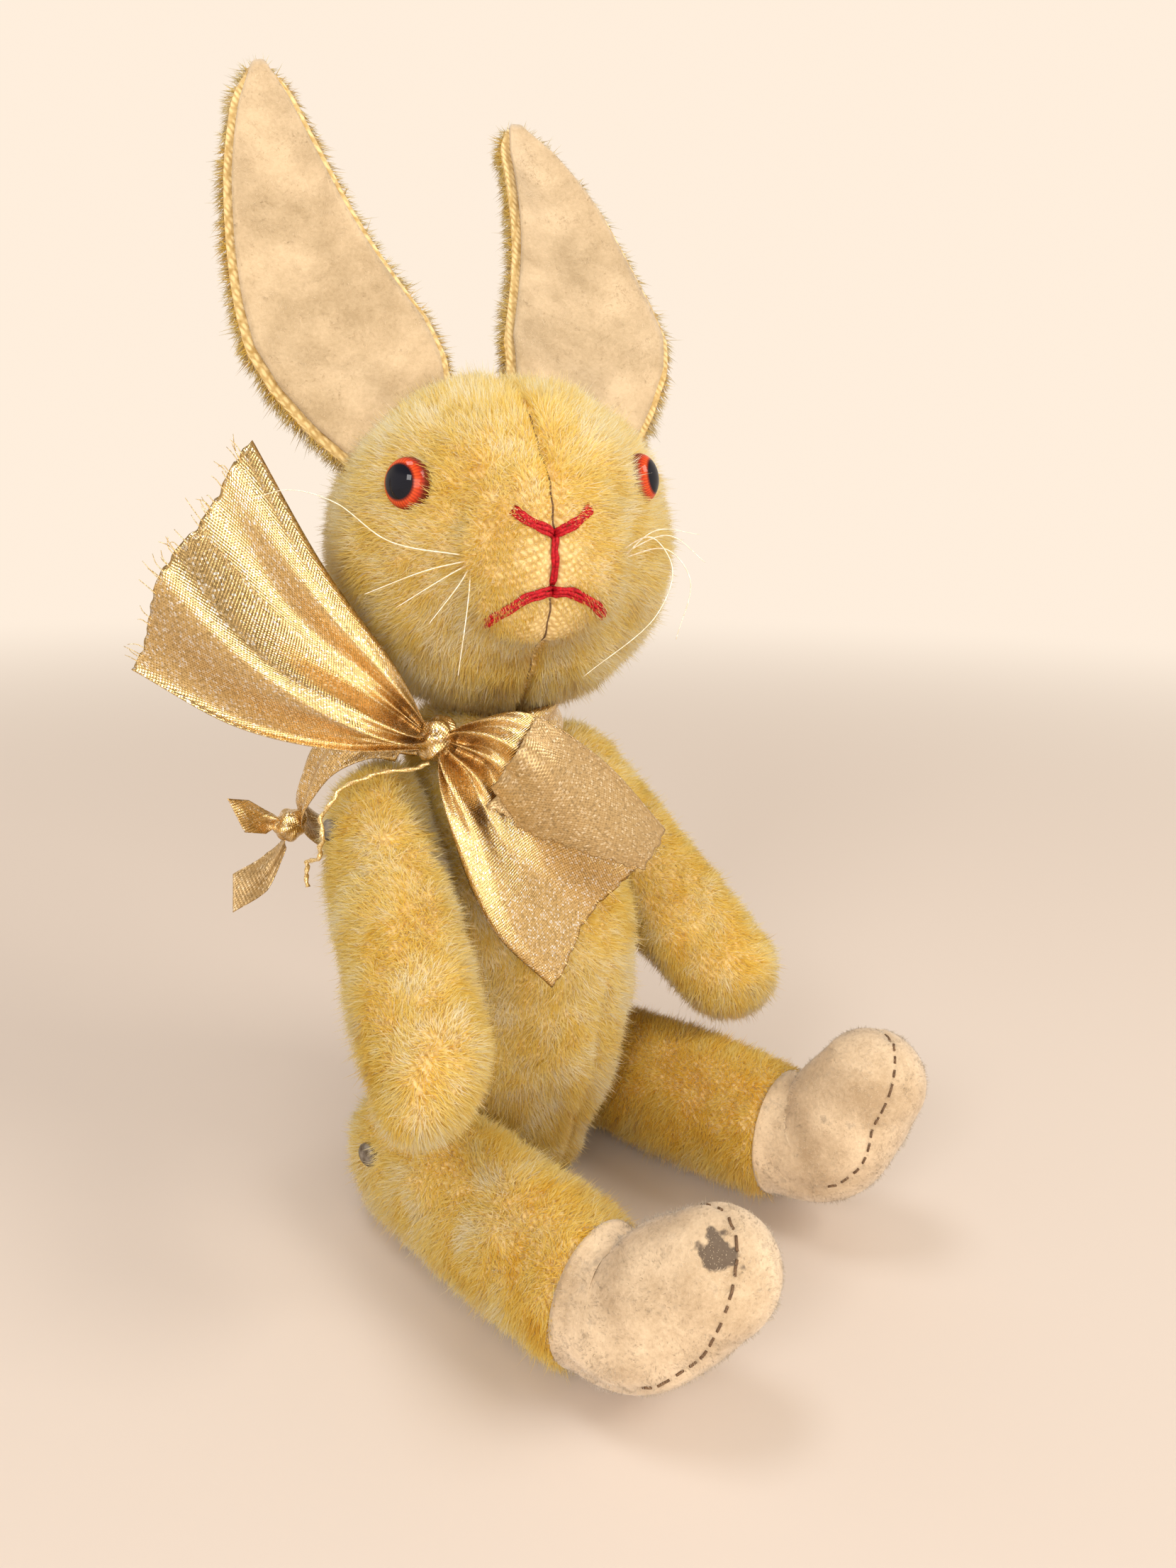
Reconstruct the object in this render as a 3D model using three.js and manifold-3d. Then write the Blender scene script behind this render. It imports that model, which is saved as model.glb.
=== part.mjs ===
// A small jointed rabbit in mohair plush, sitting, with felt ears and feet and a ribbon round its neck.
// Millimetres. +Z is up, the rabbit looks towards -Y, and its own right side is at -X.
// The origin is the middle of the flat under the rump, where the rabbit sits on the ground plane.

import * as THREE from 'three';
import { mergeVertices } from 'three/addons/utils/BufferGeometryUtils.js';
import Module from 'manifold-3d';

const wasm = await Module();
wasm.setup();

// ---------------------------------------------------------------- driving dimensions

const CLEARANCE = 0.3; // between two pieces that touch
const RUNNING_GAP = 0.6; // between a limb and the body it swings against
const PLUSH = 1.2; // mohair backing with the root of its pile
const FELT = 1.1;
const RIBBON = 0.9; // a gathered ribbon's thickness, folds and all

const SHOULDER = { y: 4.1, z: 59.3, bodyHalf: 13.2 }; // where the arm rod crosses, and the body's half width there
const HIP = { y: -0.6, z: 12.8, bodyHalf: 12.9 };
const NECK = { y: 5.3, z: 73.0 }; // the flat on which the head turns

const ARM = { half: 6.6, round: 7.4, length: 40.5 }; // half thickness, half depth, shoulder to paw centres
const LEG = { half: 6.5, round: 9.6, length: 39.5 }; // the same for a leg, hip to ankle
const FOOT = { half: 8.2, round: 8.4, length: 12.5 };

const RIGHT_ARM = { side: -1, raise: 56, splay: 26 }; // degrees, in the sitting pose
const LEFT_ARM = { side: 1, raise: 46, splay: 6 };
const RIGHT_LEG = { side: -1, lift: 0, splay: 7.5, toe: 46, turn: 4.0 };
const LEFT_LEG = { side: 1, lift: 3.5, splay: -2.5, toe: 31, turn: 2.0 };

const HEAD = { at: [1.4, 0.8, 95.6], turn: -30.5, nod: -13, tilt: -2.3 };
const EYE = { radius: 4.0, depth: 2.7, out: 50, at: [15.6, -15.9, 5.8] };
const EAR = { length: 54.5, half: 11.6, root: [14.9, 0.1, 18.2], cup: 2.6, bow: 3.4 };

const ROD = 0.9; // radius of the wire rods
const ROD_HEAD = { radius: 2.3, thick: 0.9 };
const DISC = { thick: 1.2, arm: 3.6, leg: 3.8, neck: 4.2 }; // cardboard discs and their radii
const STITCH = 0.6; // radius of the embroidery thread
const BRISTLE = 0.16; // radius of a whisker
const THREAD = { radius: 0.35, sides: 8 };

const KNOT = [-17.0, -5.5, 71.6]; // middle of the bow
const NECK_RIBBON_WIDTH = 5.5;

const COLOURS = {
  mohair: 0xd9bd74,
  felt: 0xe6d3ad,
  stuffing: 0xc9b58a,
  card: 0x8f7a5a,
  steel: 0x4a4745,
  glass: 0xc2502e,
  embroidery: 0xb01226,
  bristle: 0xf3ead8,
  ribbon: 0xc9a14c,
};

const finish = {
  mohair: new THREE.MeshStandardMaterial({ color: COLOURS.mohair, roughness: 0.95 }),
  felt: new THREE.MeshStandardMaterial({ color: COLOURS.felt, roughness: 1.0 }),
  stuffing: new THREE.MeshStandardMaterial({ color: COLOURS.stuffing, roughness: 1.0 }),
  card: new THREE.MeshStandardMaterial({ color: COLOURS.card, roughness: 0.9 }),
  steel: new THREE.MeshStandardMaterial({ color: COLOURS.steel, roughness: 0.45, metalness: 1.0 }),
  glass: new THREE.MeshStandardMaterial({ color: COLOURS.glass, roughness: 0.05 }),
  embroidery: new THREE.MeshStandardMaterial({ color: COLOURS.embroidery, roughness: 0.7 }),
  bristle: new THREE.MeshStandardMaterial({ color: COLOURS.bristle, roughness: 0.35 }),
  ribbon: new THREE.MeshStandardMaterial({ color: COLOURS.ribbon, roughness: 0.3, metalness: 0.8 }),
};

const rabbit = new THREE.Group();
const X_AXIS = new THREE.Vector3(1, 0, 0);

// ---------------------------------------------------------------- solids

const radians = THREE.MathUtils.degToRad;
const vector = (point) => new THREE.Vector3(...point);

function solidOf(geometry) {
  const bare = geometry.clone();
  bare.deleteAttribute('normal');
  bare.deleteAttribute('uv');
  const merged = mergeVertices(bare, 1e-4);
  return new wasm.Manifold(
    new wasm.Mesh({
      numProp: 3,
      vertProperties: new Float32Array(merged.attributes.position.array),
      triVerts: new Uint32Array(merged.index.array),
    }),
  );
}

function geometryOf(solid) {
  const mesh = solid.getMesh();
  const geometry = new THREE.BufferGeometry();
  geometry.setAttribute('position', new THREE.BufferAttribute(mesh.vertProperties, 3));
  geometry.setIndex(new THREE.BufferAttribute(mesh.triVerts, 1));
  geometry.computeVertexNormals();
  return geometry;
}

function addNode(parent, name, solid, material) {
  const mesh = new THREE.Mesh(geometryOf(solid), material);
  mesh.name = name;
  parent.add(mesh);
}

// A rounded body along a smooth line. Each station gives the line's point, the half width along X
// and the half depth square to both; the two ends are domes.
function softBody(stations, startDome, endDome, sides, capRows = 4, rowsPerSpan = 2) {
  const midRows = rowsPerSpan * (stations.length - 1);
  const rows = midRows + 2 * capRows;
  const line = new THREE.CatmullRomCurve3(stations.map((station) => vector(station.at)));
  const sizes = new THREE.CatmullRomCurve3(
    stations.map((station) => new THREE.Vector3(station.wide, station.deep, 0)),
  );
  const form = new THREE.SphereGeometry(1, sides, rows);
  const { position, uv } = form.attributes;
  for (let i = 0; i < position.count; i++) {
    const row = Math.round((1 - uv.getY(i)) * rows);
    const startAngle = Math.min(row / capRows, 1) * (Math.PI / 2);
    const endAngle = Math.min((rows - row) / capRows, 1) * (Math.PI / 2);
    const along = THREE.MathUtils.clamp((row - capRows) / midRows, 0, 1);
    const tangent = line.getTangent(along);
    const depthAxis = new THREE.Vector3().crossVectors(tangent, X_AXIS).normalize();
    const size = sizes.getPoint(along).multiplyScalar(Math.sin(startAngle) * Math.sin(endAngle));
    const around = Math.atan2(position.getZ(i), position.getX(i));
    const point = line
      .getPoint(along)
      .addScaledVector(X_AXIS, Math.cos(around) * size.x)
      .addScaledVector(depthAxis, Math.sin(around) * size.y)
      .addScaledVector(tangent, endDome * Math.cos(endAngle) - startDome * Math.cos(startAngle));
    position.setXYZ(i, point.x, point.y, point.z);
  }
  return solidOf(form);
}

const shrunk = (stations, by) =>
  stations.map(({ at, wide, deep }) => ({ at, wide: wide - by, deep: deep - by }));

// A plush or felt skin's outside, its inside, and the stuffing that fills it.
function skinOf(stations, startDome, endDome, sides, wall) {
  const outside = softBody(stations, startDome, endDome, sides);
  const within = (by) => softBody(shrunk(stations, by), startDome - by, endDome - by, sides - 4, 3, 1);
  return { outside, inside: within(wall), filling: within(wall + CLEARANCE + 0.15) };
}

// A round bar along X from one x to another.
function barAlongX(radius, fromX, toX, y, z, sides = 14) {
  const bar = new THREE.CylinderGeometry(radius, radius, Math.abs(toX - fromX), sides);
  bar.rotateZ(Math.PI / 2);
  bar.translate((fromX + toX) / 2, y, z);
  return solidOf(bar);
}

function barAlongZ(radius, fromZ, toZ, x, y, sides = 14) {
  const bar = new THREE.CylinderGeometry(radius, radius, toZ - fromZ, sides);
  bar.rotateX(Math.PI / 2);
  bar.translate(x, y, (fromZ + toZ) / 2);
  return solidOf(bar);
}

function box(low, high) {
  const size = high.map((value, i) => value - low[i]);
  const block = new THREE.BoxGeometry(...size);
  block.translate(...low.map((value, i) => value + size[i] / 2));
  return solidOf(block);
}

// A round thread or wire along a line of points.
function strand(points, radius, sides, steps) {
  const path = new THREE.CatmullRomCurve3(points.map(vector));
  const section = new THREE.Shape();
  for (let i = 0; i < sides; i++) {
    const angle = (2 * Math.PI * i) / sides;
    section[i ? 'lineTo' : 'moveTo'](radius * Math.cos(angle), radius * Math.sin(angle));
  }
  section.closePath();
  return solidOf(new THREE.ExtrudeGeometry(section, { steps, bevelEnabled: false, extrudePath: path }));
}

const union = (solids) => solids.reduce((whole, solid) => whole.add(solid));
const without = (solid, cuts) => cuts.reduce((rest, cut) => rest.subtract(cut), solid);

// A band or fan of cloth: `place(across, along)` gives the middle of the cloth, across and along
// both running from 0 to 1, and the cloth has its thickness square to that.
function cloth(place, thickness, acrossCells, alongCells) {
  const sheet = new THREE.BoxGeometry(1, thickness, 1, acrossCells, 1, alongCells);
  const { position } = sheet.attributes;
  const small = 0.01;
  for (let i = 0; i < position.count; i++) {
    const across = position.getX(i) + 0.5;
    const along = position.getZ(i) + 0.5;
    const middle = place(across, along);
    const rightward = place(across + small, along).sub(place(across - small, along));
    const onward = place(across, along + small).sub(place(across, along - small));
    const outward = new THREE.Vector3().crossVectors(onward, rightward).normalize();
    const point = middle.addScaledVector(outward, position.getY(i));
    position.setXYZ(i, point.x, point.y, point.z);
  }
  return solidOf(sheet);
}

// ---------------------------------------------------------------- body

const torso = [
  { at: [0, 0.6, 9.0], wide: HIP.bodyHalf - 1.0, deep: 14.2 },
  { at: [0, -1.4, 24.0], wide: 15.2, deep: 17.4 },
  { at: [0, -2.2, 40.0], wide: 15.8, deep: 18.4 },
  { at: [0, 1.2, 55.0], wide: SHOULDER.bodyHalf + 0.6, deep: 14.2 },
  { at: [0, NECK.y, 67.0], wide: 8.8, deep: 9.4 },
];
const RUMP_DOME = 10.2;
const THROAT_DOME = 6.8;
const torsoSkin = skinOf(torso, RUMP_DOME, THROAT_DOME, 20, PLUSH);
const ground = box([-40, -40, -20], [40, 40, 0]);
const overNeck = box([-40, -40, NECK.z], [40, 40, NECK.z + 40]);
const throatTop = NECK.z - PLUSH;
const overThroat = box([-40, -40, throatTop], [40, 40, throatTop + 40]);
const overFilling = box([-40, -40, throatTop - CLEARANCE], [40, 40, throatTop + 40]);

const armRodHole = barAlongX(ROD + CLEARANCE, -30, 30, SHOULDER.y, SHOULDER.z, 10);
const legRodHole = barAlongX(ROD + CLEARANCE, -30, 30, HIP.y, HIP.z, 10);
const neckPinHole = barAlongZ(ROD + CLEARANCE, NECK.z - 12, NECK.z + 12, 0, NECK.y, 10);

const bodyDiscs = [];
for (const side of [-1, 1]) {
  for (const joint of ['shoulder', 'hip']) {
    const place = joint === 'shoulder' ? SHOULDER : HIP;
    const radius = joint === 'shoulder' ? DISC.arm : DISC.leg;
    const outer = place.bodyHalf - PLUSH - (joint === 'shoulder' ? 3.5 : 3.2);
    bodyDiscs.push({
      name: `${side < 0 ? 'right' : 'left'}_${joint}_disc`,
      radius,
      from: side * (outer - DISC.thick),
      to: side * outer,
      wallAt: side * (outer + 4),
      place,
    });
  }
}
const bodyDiscRoom = bodyDiscs.map((disc) =>
  barAlongX(
    disc.radius + CLEARANCE,
    disc.from - Math.sign(disc.to) * CLEARANCE,
    disc.wallAt,
    disc.place.y,
    disc.place.z,
  ),
);
const neckDiscTop = throatTop - CLEARANCE;
const neckDiscRoom = barAlongZ(
  DISC.neck + CLEARANCE,
  neckDiscTop - DISC.thick - ROD_HEAD.thick - 2 * CLEARANCE,
  neckDiscTop + 4,
  0,
  NECK.y,
);

addNode(
  rabbit,
  'torso_shell',
  without(torsoSkin.outside, [
    ground,
    overNeck,
    without(torsoSkin.inside.add(neckDiscRoom), [overThroat, box([-40, -40, -20], [40, 40, PLUSH])]),
    armRodHole,
    legRodHole,
    neckPinHole,
  ]),
  finish.mohair,
);
addNode(
  rabbit,
  'torso_stuffing',
  without(torsoSkin.filling, [
    box([-40, -40, -20], [40, 40, PLUSH + CLEARANCE]),
    overFilling,
    ...bodyDiscRoom,
    neckDiscRoom,
    armRodHole,
    legRodHole,
    neckPinHole,
  ]),
  finish.stuffing,
);

// ---------------------------------------------------------------- limbs

function armStations({ side, splay }) {
  const middle = side * (SHOULDER.bodyHalf + RUNNING_GAP + ARM.half);
  const at = (share, forward) => [
    middle + side * share * ARM.length * Math.sin(radians(splay)),
    forward,
    -share * ARM.length * Math.cos(radians(splay)),
  ];
  return [
    { at: at(0, 0), wide: ARM.half, deep: ARM.round },
    { at: at(0.35, 0.2), wide: ARM.half + 0.6, deep: ARM.round + 0.3 },
    { at: at(0.7, 0), wide: ARM.half + 0.8, deep: ARM.round + 0.1 },
    { at: at(1, -0.6), wide: ARM.half + 0.2, deep: ARM.round - 0.4 },
  ];
}

// The leg's own frame has its hip at the origin and runs towards -Y; the pivot is above its middle line.
const HIP_ABOVE_MIDDLE = HIP.z - LEG.round - 0.3;

function legStations({ side, splay, toe, turn }) {
  const middle = side * (HIP.bodyHalf + RUNNING_GAP + LEG.half);
  const at = (distance, drop, leftward = 0) => [
    middle + side * distance * Math.sin(radians(splay)) + leftward,
    -distance * Math.cos(radians(splay)),
    drop,
  ];
  const heel = LEG.length + 7.4;
  const footAt = (distance) =>
    at(
      heel + distance * Math.sin(radians(toe)),
      0.4 - HIP_ABOVE_MIDDLE + distance * Math.cos(radians(toe)),
      (turn * distance) / FOOT.length,
    );
  return [
    { at: at(0, -HIP_ABOVE_MIDDLE), wide: LEG.half, deep: LEG.round },
    { at: at(0.4 * LEG.length, 0.2 - HIP_ABOVE_MIDDLE), wide: LEG.half + 1.3, deep: LEG.round + 0.2 },
    { at: at(0.75 * LEG.length, -HIP_ABOVE_MIDDLE), wide: LEG.half + 1.6, deep: LEG.round },
    { at: at(LEG.length, -0.2 - HIP_ABOVE_MIDDLE), wide: FOOT.half, deep: LEG.round - 0.6 },
    { at: footAt(0.6), wide: FOOT.half, deep: FOOT.round },
    { at: footAt(0.55 * FOOT.length), wide: FOOT.half + 0.2, deep: FOOT.round },
    { at: footAt(FOOT.length), wide: FOOT.half - 0.8, deep: FOOT.round - 0.9 },
  ];
}

function limbDisc(stationMiddle, half, side, radius) {
  const inner = stationMiddle - side * (half - PLUSH - 3.0);
  return { from: inner, to: inner + side * DISC.thick, wallAt: inner - side * 4, radius };
}

function addLimbHardware(group, name, disc, side, y, z) {
  const ring = barAlongX(disc.radius, disc.from, disc.to, y, z, 14);
  const hole = barAlongX(ROD + CLEARANCE, -40, 40, y, z, 10);
  addNode(group, `${side < 0 ? 'right' : 'left'}_${name}_disc`, ring.subtract(hole), finish.card);
  const room = barAlongX(disc.radius + CLEARANCE, disc.wallAt, disc.to + side * CLEARANCE, y, z);
  return { hole, room };
}

for (const arm of [RIGHT_ARM, LEFT_ARM]) {
  const sideName = arm.side < 0 ? 'right' : 'left';
  const group = new THREE.Group();
  group.position.set(0, SHOULDER.y, SHOULDER.z);
  group.rotation.x = -radians(arm.raise);
  rabbit.add(group);
  const stations = armStations(arm);
  const skin = skinOf(stations, ARM.round, ARM.round - 0.5, 16, PLUSH);
  const disc = limbDisc(stations[0].at[0], ARM.half, arm.side, DISC.arm);
  const { hole, room } = addLimbHardware(group, 'arm', disc, arm.side, 0, 0);
  addNode(group, `${sideName}_arm_shell`, without(skin.outside, [skin.inside, hole]), finish.mohair);
  addNode(group, `${sideName}_arm_stuffing`, without(skin.filling, [hole, room]), finish.stuffing);
}

const ANKLE_CUT = LEG.length + 0.6;
for (const leg of [RIGHT_LEG, LEFT_LEG]) {
  const sideName = leg.side < 0 ? 'right' : 'left';
  const group = new THREE.Group();
  group.position.set(0, HIP.y, HIP.z);
  group.rotation.x = -radians(leg.lift);
  rabbit.add(group);
  const stations = legStations(leg);
  const skin = skinOf(stations, LEG.round - 0.6, FOOT.round - 1.4, 16, PLUSH);
  const disc = limbDisc(stations[0].at[0], LEG.half, leg.side, DISC.leg);
  const { hole, room } = addLimbHardware(group, 'leg', disc, leg.side, 0, 0);
  const footSide = box([-60, -100, -40], [60, -ANKLE_CUT + CLEARANCE / 2, 60]);
  const legSide = box([-60, -ANKLE_CUT - CLEARANCE / 2, -40], [60, 40, 60]);
  const hollow = skin.outside.subtract(skin.inside);
  addNode(group, `${sideName}_leg_shell`, without(hollow, [footSide, hole]), finish.mohair);
  addNode(group, `${sideName}_foot_felt`, hollow.subtract(legSide), finish.felt);
  addNode(group, `${sideName}_leg_stuffing`, without(skin.filling, [hole, room]), finish.stuffing);
}

// ---------------------------------------------------------------- rods and body discs

for (const disc of bodyDiscs) {
  const ring = barAlongX(disc.radius, disc.from, disc.to, disc.place.y, disc.place.z);
  const hole = barAlongX(ROD + CLEARANCE, -40, 40, disc.place.y, disc.place.z, 10);
  addNode(rabbit, disc.name, ring.subtract(hole), finish.card);
}

function throughRod(reach, place) {
  const shank = barAlongX(ROD, -reach, reach, place.y, place.z, 10);
  const heads = [-1, 1].map((side) =>
    barAlongX(
      ROD_HEAD.radius,
      side * (reach - 0.01),
      side * (reach + ROD_HEAD.thick),
      place.y,
      place.z,
    ),
  );
  return union([shank, ...heads]);
}
const armOutside = SHOULDER.bodyHalf + RUNNING_GAP + 2 * ARM.half;
const legOutside = HIP.bodyHalf + RUNNING_GAP + 2 * LEG.half;
addNode(rabbit, 'arm_rod', throughRod(armOutside + 1.4, SHOULDER), finish.steel);
addNode(rabbit, 'leg_rod', throughRod(legOutside + 0.9, HIP), finish.steel);

const neckDisc = barAlongZ(DISC.neck, neckDiscTop - DISC.thick, neckDiscTop, 0, NECK.y);
addNode(rabbit, 'neck_body_disc', neckDisc.subtract(neckPinHole), finish.card);

// ---------------------------------------------------------------- head

const headGroup = new THREE.Group();
headGroup.position.set(...HEAD.at);
headGroup.rotation.set(radians(HEAD.nod), radians(HEAD.tilt), radians(HEAD.turn), 'ZXY');
headGroup.updateMatrixWorld(true);
rabbit.add(headGroup);
const toHead = headGroup.matrixWorld.clone().invert();
const inHead = (solid) => {
  const geometry = geometryOf(solid);
  geometry.applyMatrix4(toHead);
  return solidOf(geometry);
};

const head = [
  { at: [0, 13.0, 0], wide: 18.4, deep: 18.0 },
  { at: [0, 4.0, 0], wide: 22.8, deep: 22.2 },
  { at: [0, -6.0, -0.6], wide: 22.4, deep: 21.2 },
  { at: [0, -13.5, -2.0], wide: 17.6, deep: 17.4 },
  { at: [0, -19.0, -4.0], wide: 10.8, deep: 11.8 },
];
const headSkin = skinOf(head, 8.4, 4.6, 22, PLUSH);
const headBase = NECK.z + CLEARANCE;
const headFloor = headBase + PLUSH;
const underHead = inHead(box([-40, -40, headBase - 30], [40, 40, headBase]));
const underCavity = inHead(box([-40, -40, headFloor - 30], [40, 40, headFloor]));
const underFilling = inHead(box([-40, -40, headFloor - 30], [40, 40, headFloor + CLEARANCE]));
const headPinHole = inHead(neckPinHole);
const headDiscLow = headFloor + CLEARANCE;
const headDiscRoom = inHead(
  barAlongZ(
    DISC.neck + CLEARANCE,
    headDiscLow - 4,
    headDiscLow + DISC.thick + ROD_HEAD.thick + 2 * CLEARANCE,
    0,
    NECK.y,
  ),
);
const headPinRoom = inHead(barAlongZ(ROD + CLEARANCE, NECK.z - 5, NECK.z + 7.0, 0, NECK.y, 10));

function eyeBody(side, grow) {
  const ball = new THREE.SphereGeometry(1, 14, 10);
  ball.scale(EYE.radius + grow, EYE.depth + grow, EYE.radius + grow);
  ball.rotateZ(side * radians(EYE.out));
  ball.translate(side * EYE.at[0], EYE.at[1], EYE.at[2]);
  return solidOf(ball);
}

function eyeWire(side, radius, start = EYE.depth + CLEARANCE, spare = 0) {
  const out = radians(EYE.out);
  const inward = (distance, rise) => [
    side * (EYE.at[0] - distance * Math.sin(out)),
    EYE.at[1] + distance * Math.cos(out),
    EYE.at[2] + rise,
  ];
  const deep = EYE.depth + 5;
  const route = [inward(start, 0.9), inward(deep, 0.9), inward(deep + 2, 0), inward(deep - spare, -0.9)];
  return strand(route, radius, 6, 12);
}
const eyeRooms = [-1, 1].flatMap((side) => [
  eyeBody(side, CLEARANCE),
  eyeWire(side, 0.75 + CLEARANCE, EYE.depth - 1, 0.8),
]);

addNode(
  headGroup,
  'head_shell',
  without(headSkin.outside, [
    without(headSkin.inside.add(headDiscRoom), [underCavity]),
    underHead,
    headPinHole,
    ...eyeRooms,
  ]),
  finish.mohair,
);
addNode(
  headGroup,
  'head_stuffing',
  without(headSkin.filling, [underFilling, headDiscRoom, headPinRoom, ...eyeRooms]),
  finish.stuffing,
);
for (const side of [-1, 1]) {
  const sideName = side < 0 ? 'right' : 'left';
  addNode(headGroup, `${sideName}_glass_eye`, eyeBody(side, 0), finish.glass);
  addNode(headGroup, `${sideName}_eye_wire`, eyeWire(side, 0.45), finish.steel);
}
const headDisc = barAlongZ(DISC.neck, headDiscLow, headDiscLow + DISC.thick, 0, NECK.y);
addNode(headGroup, 'neck_head_disc', inHead(headDisc.subtract(neckPinHole)), finish.card);

const pinLow = neckDiscTop - DISC.thick - CLEARANCE;
const pinHigh = headDiscLow + DISC.thick + CLEARANCE;
addNode(
  rabbit,
  'neck_pin',
  union([
    barAlongZ(ROD, pinLow - 0.01, pinHigh + 0.01, 0, NECK.y, 10),
    barAlongZ(ROD_HEAD.radius, pinLow - ROD_HEAD.thick, pinLow, 0, NECK.y),
    barAlongZ(ROD_HEAD.radius, pinHigh, pinHigh + ROD_HEAD.thick, 0, NECK.y),
  ]),
  finish.steel,
);

// ---------------------------------------------------------------- ears

const headClear = softBody(
  shrunk(head, -CLEARANCE),
  8.4 + CLEARANCE,
  4.6 + CLEARANCE,
  22,
);
const EAR_TIPS = { '-1': [-25.1, 11.0], 1: [14.9, 19.7] }; // where each tip leans, across and back
// The ear's half width, as shares of EAR.half, at even steps from its root to its tip.
const EAR_OUTLINE = [0.8, 0.97, 1.0, 0.9, 0.78, 0.66, 0.55, 0.43, 0.3, 0.09];

function earPlace(side, depth) {
  const root = new THREE.Vector3(side * EAR.root[0], EAR.root[1], EAR.root[2]);
  const [tipX, tipY] = EAR_TIPS[side];
  const acrossLean = tipX - root.x;
  const backLean = tipY - root.y;
  const rise = Math.sqrt(EAR.length ** 2 - acrossLean ** 2 - backLean ** 2);
  const up = new THREE.Vector3(acrossLean, backLean, rise).normalize();
  const front = new THREE.Vector3(0, -1, 0).addScaledVector(up, up.y).normalize();
  const sideways = new THREE.Vector3().crossVectors(up, front).normalize();
  const last = EAR_OUTLINE.length - 1;
  return (across, along) => {
    const step = THREE.MathUtils.clamp(along * last, 0, last - 1e-6);
    const low = EAR_OUTLINE[Math.floor(step)];
    const high = EAR_OUTLINE[Math.floor(step) + 1];
    const half = EAR.half * THREE.MathUtils.lerp(low, high, step % 1);
    const off = 2 * across - 1;
    return root
      .clone()
      .addScaledVector(up, along * EAR.length)
      .addScaledVector(sideways, off * half + side * EAR.bow * Math.sin(Math.PI * along))
      .addScaledVector(front, depth + EAR.cup * off * off * (half / EAR.half));
  };
}

for (const side of [-1, 1]) {
  const sideName = side < 0 ? 'right' : 'left';
  const backThickness = PLUSH + 1.0;
  const back = cloth(earPlace(side, -backThickness / 2 - CLEARANCE / 2), backThickness, 5, 11);
  const lining = cloth(earPlace(side, FELT / 2 + CLEARANCE / 2), FELT, 5, 11);
  addNode(headGroup, `${sideName}_ear_back`, back.subtract(headClear), finish.mohair);
  addNode(headGroup, `${sideName}_ear_lining`, lining.subtract(headClear), finish.felt);
}

// ---------------------------------------------------------------- face

const faceMesh = new THREE.Mesh(geometryOf(headSkin.outside));
const faceRay = new THREE.Raycaster();

// The point on the face at (x, z), moved out from it by a distance.
function onFace(x, z, out) {
  faceRay.set(new THREE.Vector3(x, -60, z), new THREE.Vector3(0, 1, 0));
  const hit = faceRay.intersectObject(faceMesh)[0];
  const outward = hit.face.normal.clone();
  return hit.point.addScaledVector(outward, out).toArray();
}

const threadOut = STITCH + CLEARANCE + 0.15;
const stitchAlong = (route, steps) =>
  strand(route.map(([x, z]) => onFace(x, z, threadOut)), STITCH, 7, steps).subtract(headClear);
const NOSE_POINT = [0, -2.4];
const NOSE_WING = [4.9, 0.5];
const LIP = [0, -8.9];
const noseWings = [
  [-NOSE_WING[0], NOSE_WING[1]],
  [-2.9, -1.4],
  NOSE_POINT,
  [2.9, -1.4],
  NOSE_WING,
];
const noseLine = [NOSE_POINT, [0, -5.0], [0, LIP[1] + 2 * STITCH + CLEARANCE + 0.5]];
addNode(
  headGroup,
  'nose_stitches',
  stitchAlong(noseWings, 14).add(stitchAlong(noseLine, 6)),
  finish.embroidery,
);
const MOUTH_HALF = 7.9;
const mouthArc = [-1, -0.7, -0.35, 0, 0.35, 0.7, 1].map((share) => [
  MOUTH_HALF * share,
  LIP[1] - 3.2 * Math.abs(share) ** 1.6,
]);
addNode(headGroup, 'mouth_stitches', stitchAlong(mouthArc, 18), finish.embroidery);

const CHEEK = [10.4, -5.2];
const WHISKER_ENDS = {
  // each route goes on from its place on the cheek, in the head's own frame
  right: [
    [[-19.7, -20.6, -2.0], [-25.4, -19.4, 3.0], [-30.4, -17.6, 5.0], [-36.0, -13.0, 4.4]],
    [[-16.5, -23.0, -6.2], [-23.4, -21.5, -8.3]],
    [[-14.6, -24.0, -7.4], [-20.0, -22.4, -10.2]],
    [[-13.0, -24.6, -8.6], [-16.7, -24.2, -12.6]],
    [[-12.0, -25.0, -11.0], [-14.3, -26.4, -19.0]],
  ],
  left: [
    [[11.8, -27.0, -4.0], [13.2, -28.9, -8.1], [10.0, -29.8, -13.9], [0.4, -28.8, -20.4]],
    [[14.6, -25.8, -3.6], [18.6, -27.0, -7.3]],
    [[13.6, -27.2, -5.6], [15.5, -28.8, -9.7], [12.6, -29.4, -16.8]],
    [[13.6, -24.2, -2.6], [19.4, -24.6, -3.4]],
  ],
};
for (const [sideName, routes] of Object.entries(WHISKER_ENDS)) {
  const side = sideName === 'right' ? -1 : 1;
  const root = onFace(side * CHEEK[0], CHEEK[1], BRISTLE + CLEARANCE + 0.25);
  const bristles = routes.map((route) => strand([root, ...route], BRISTLE, 4, 3 * route.length));
  addNode(headGroup, `${sideName}_whiskers`, union(bristles).subtract(headClear), finish.bristle);
}

// ---------------------------------------------------------------- ribbon

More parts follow.
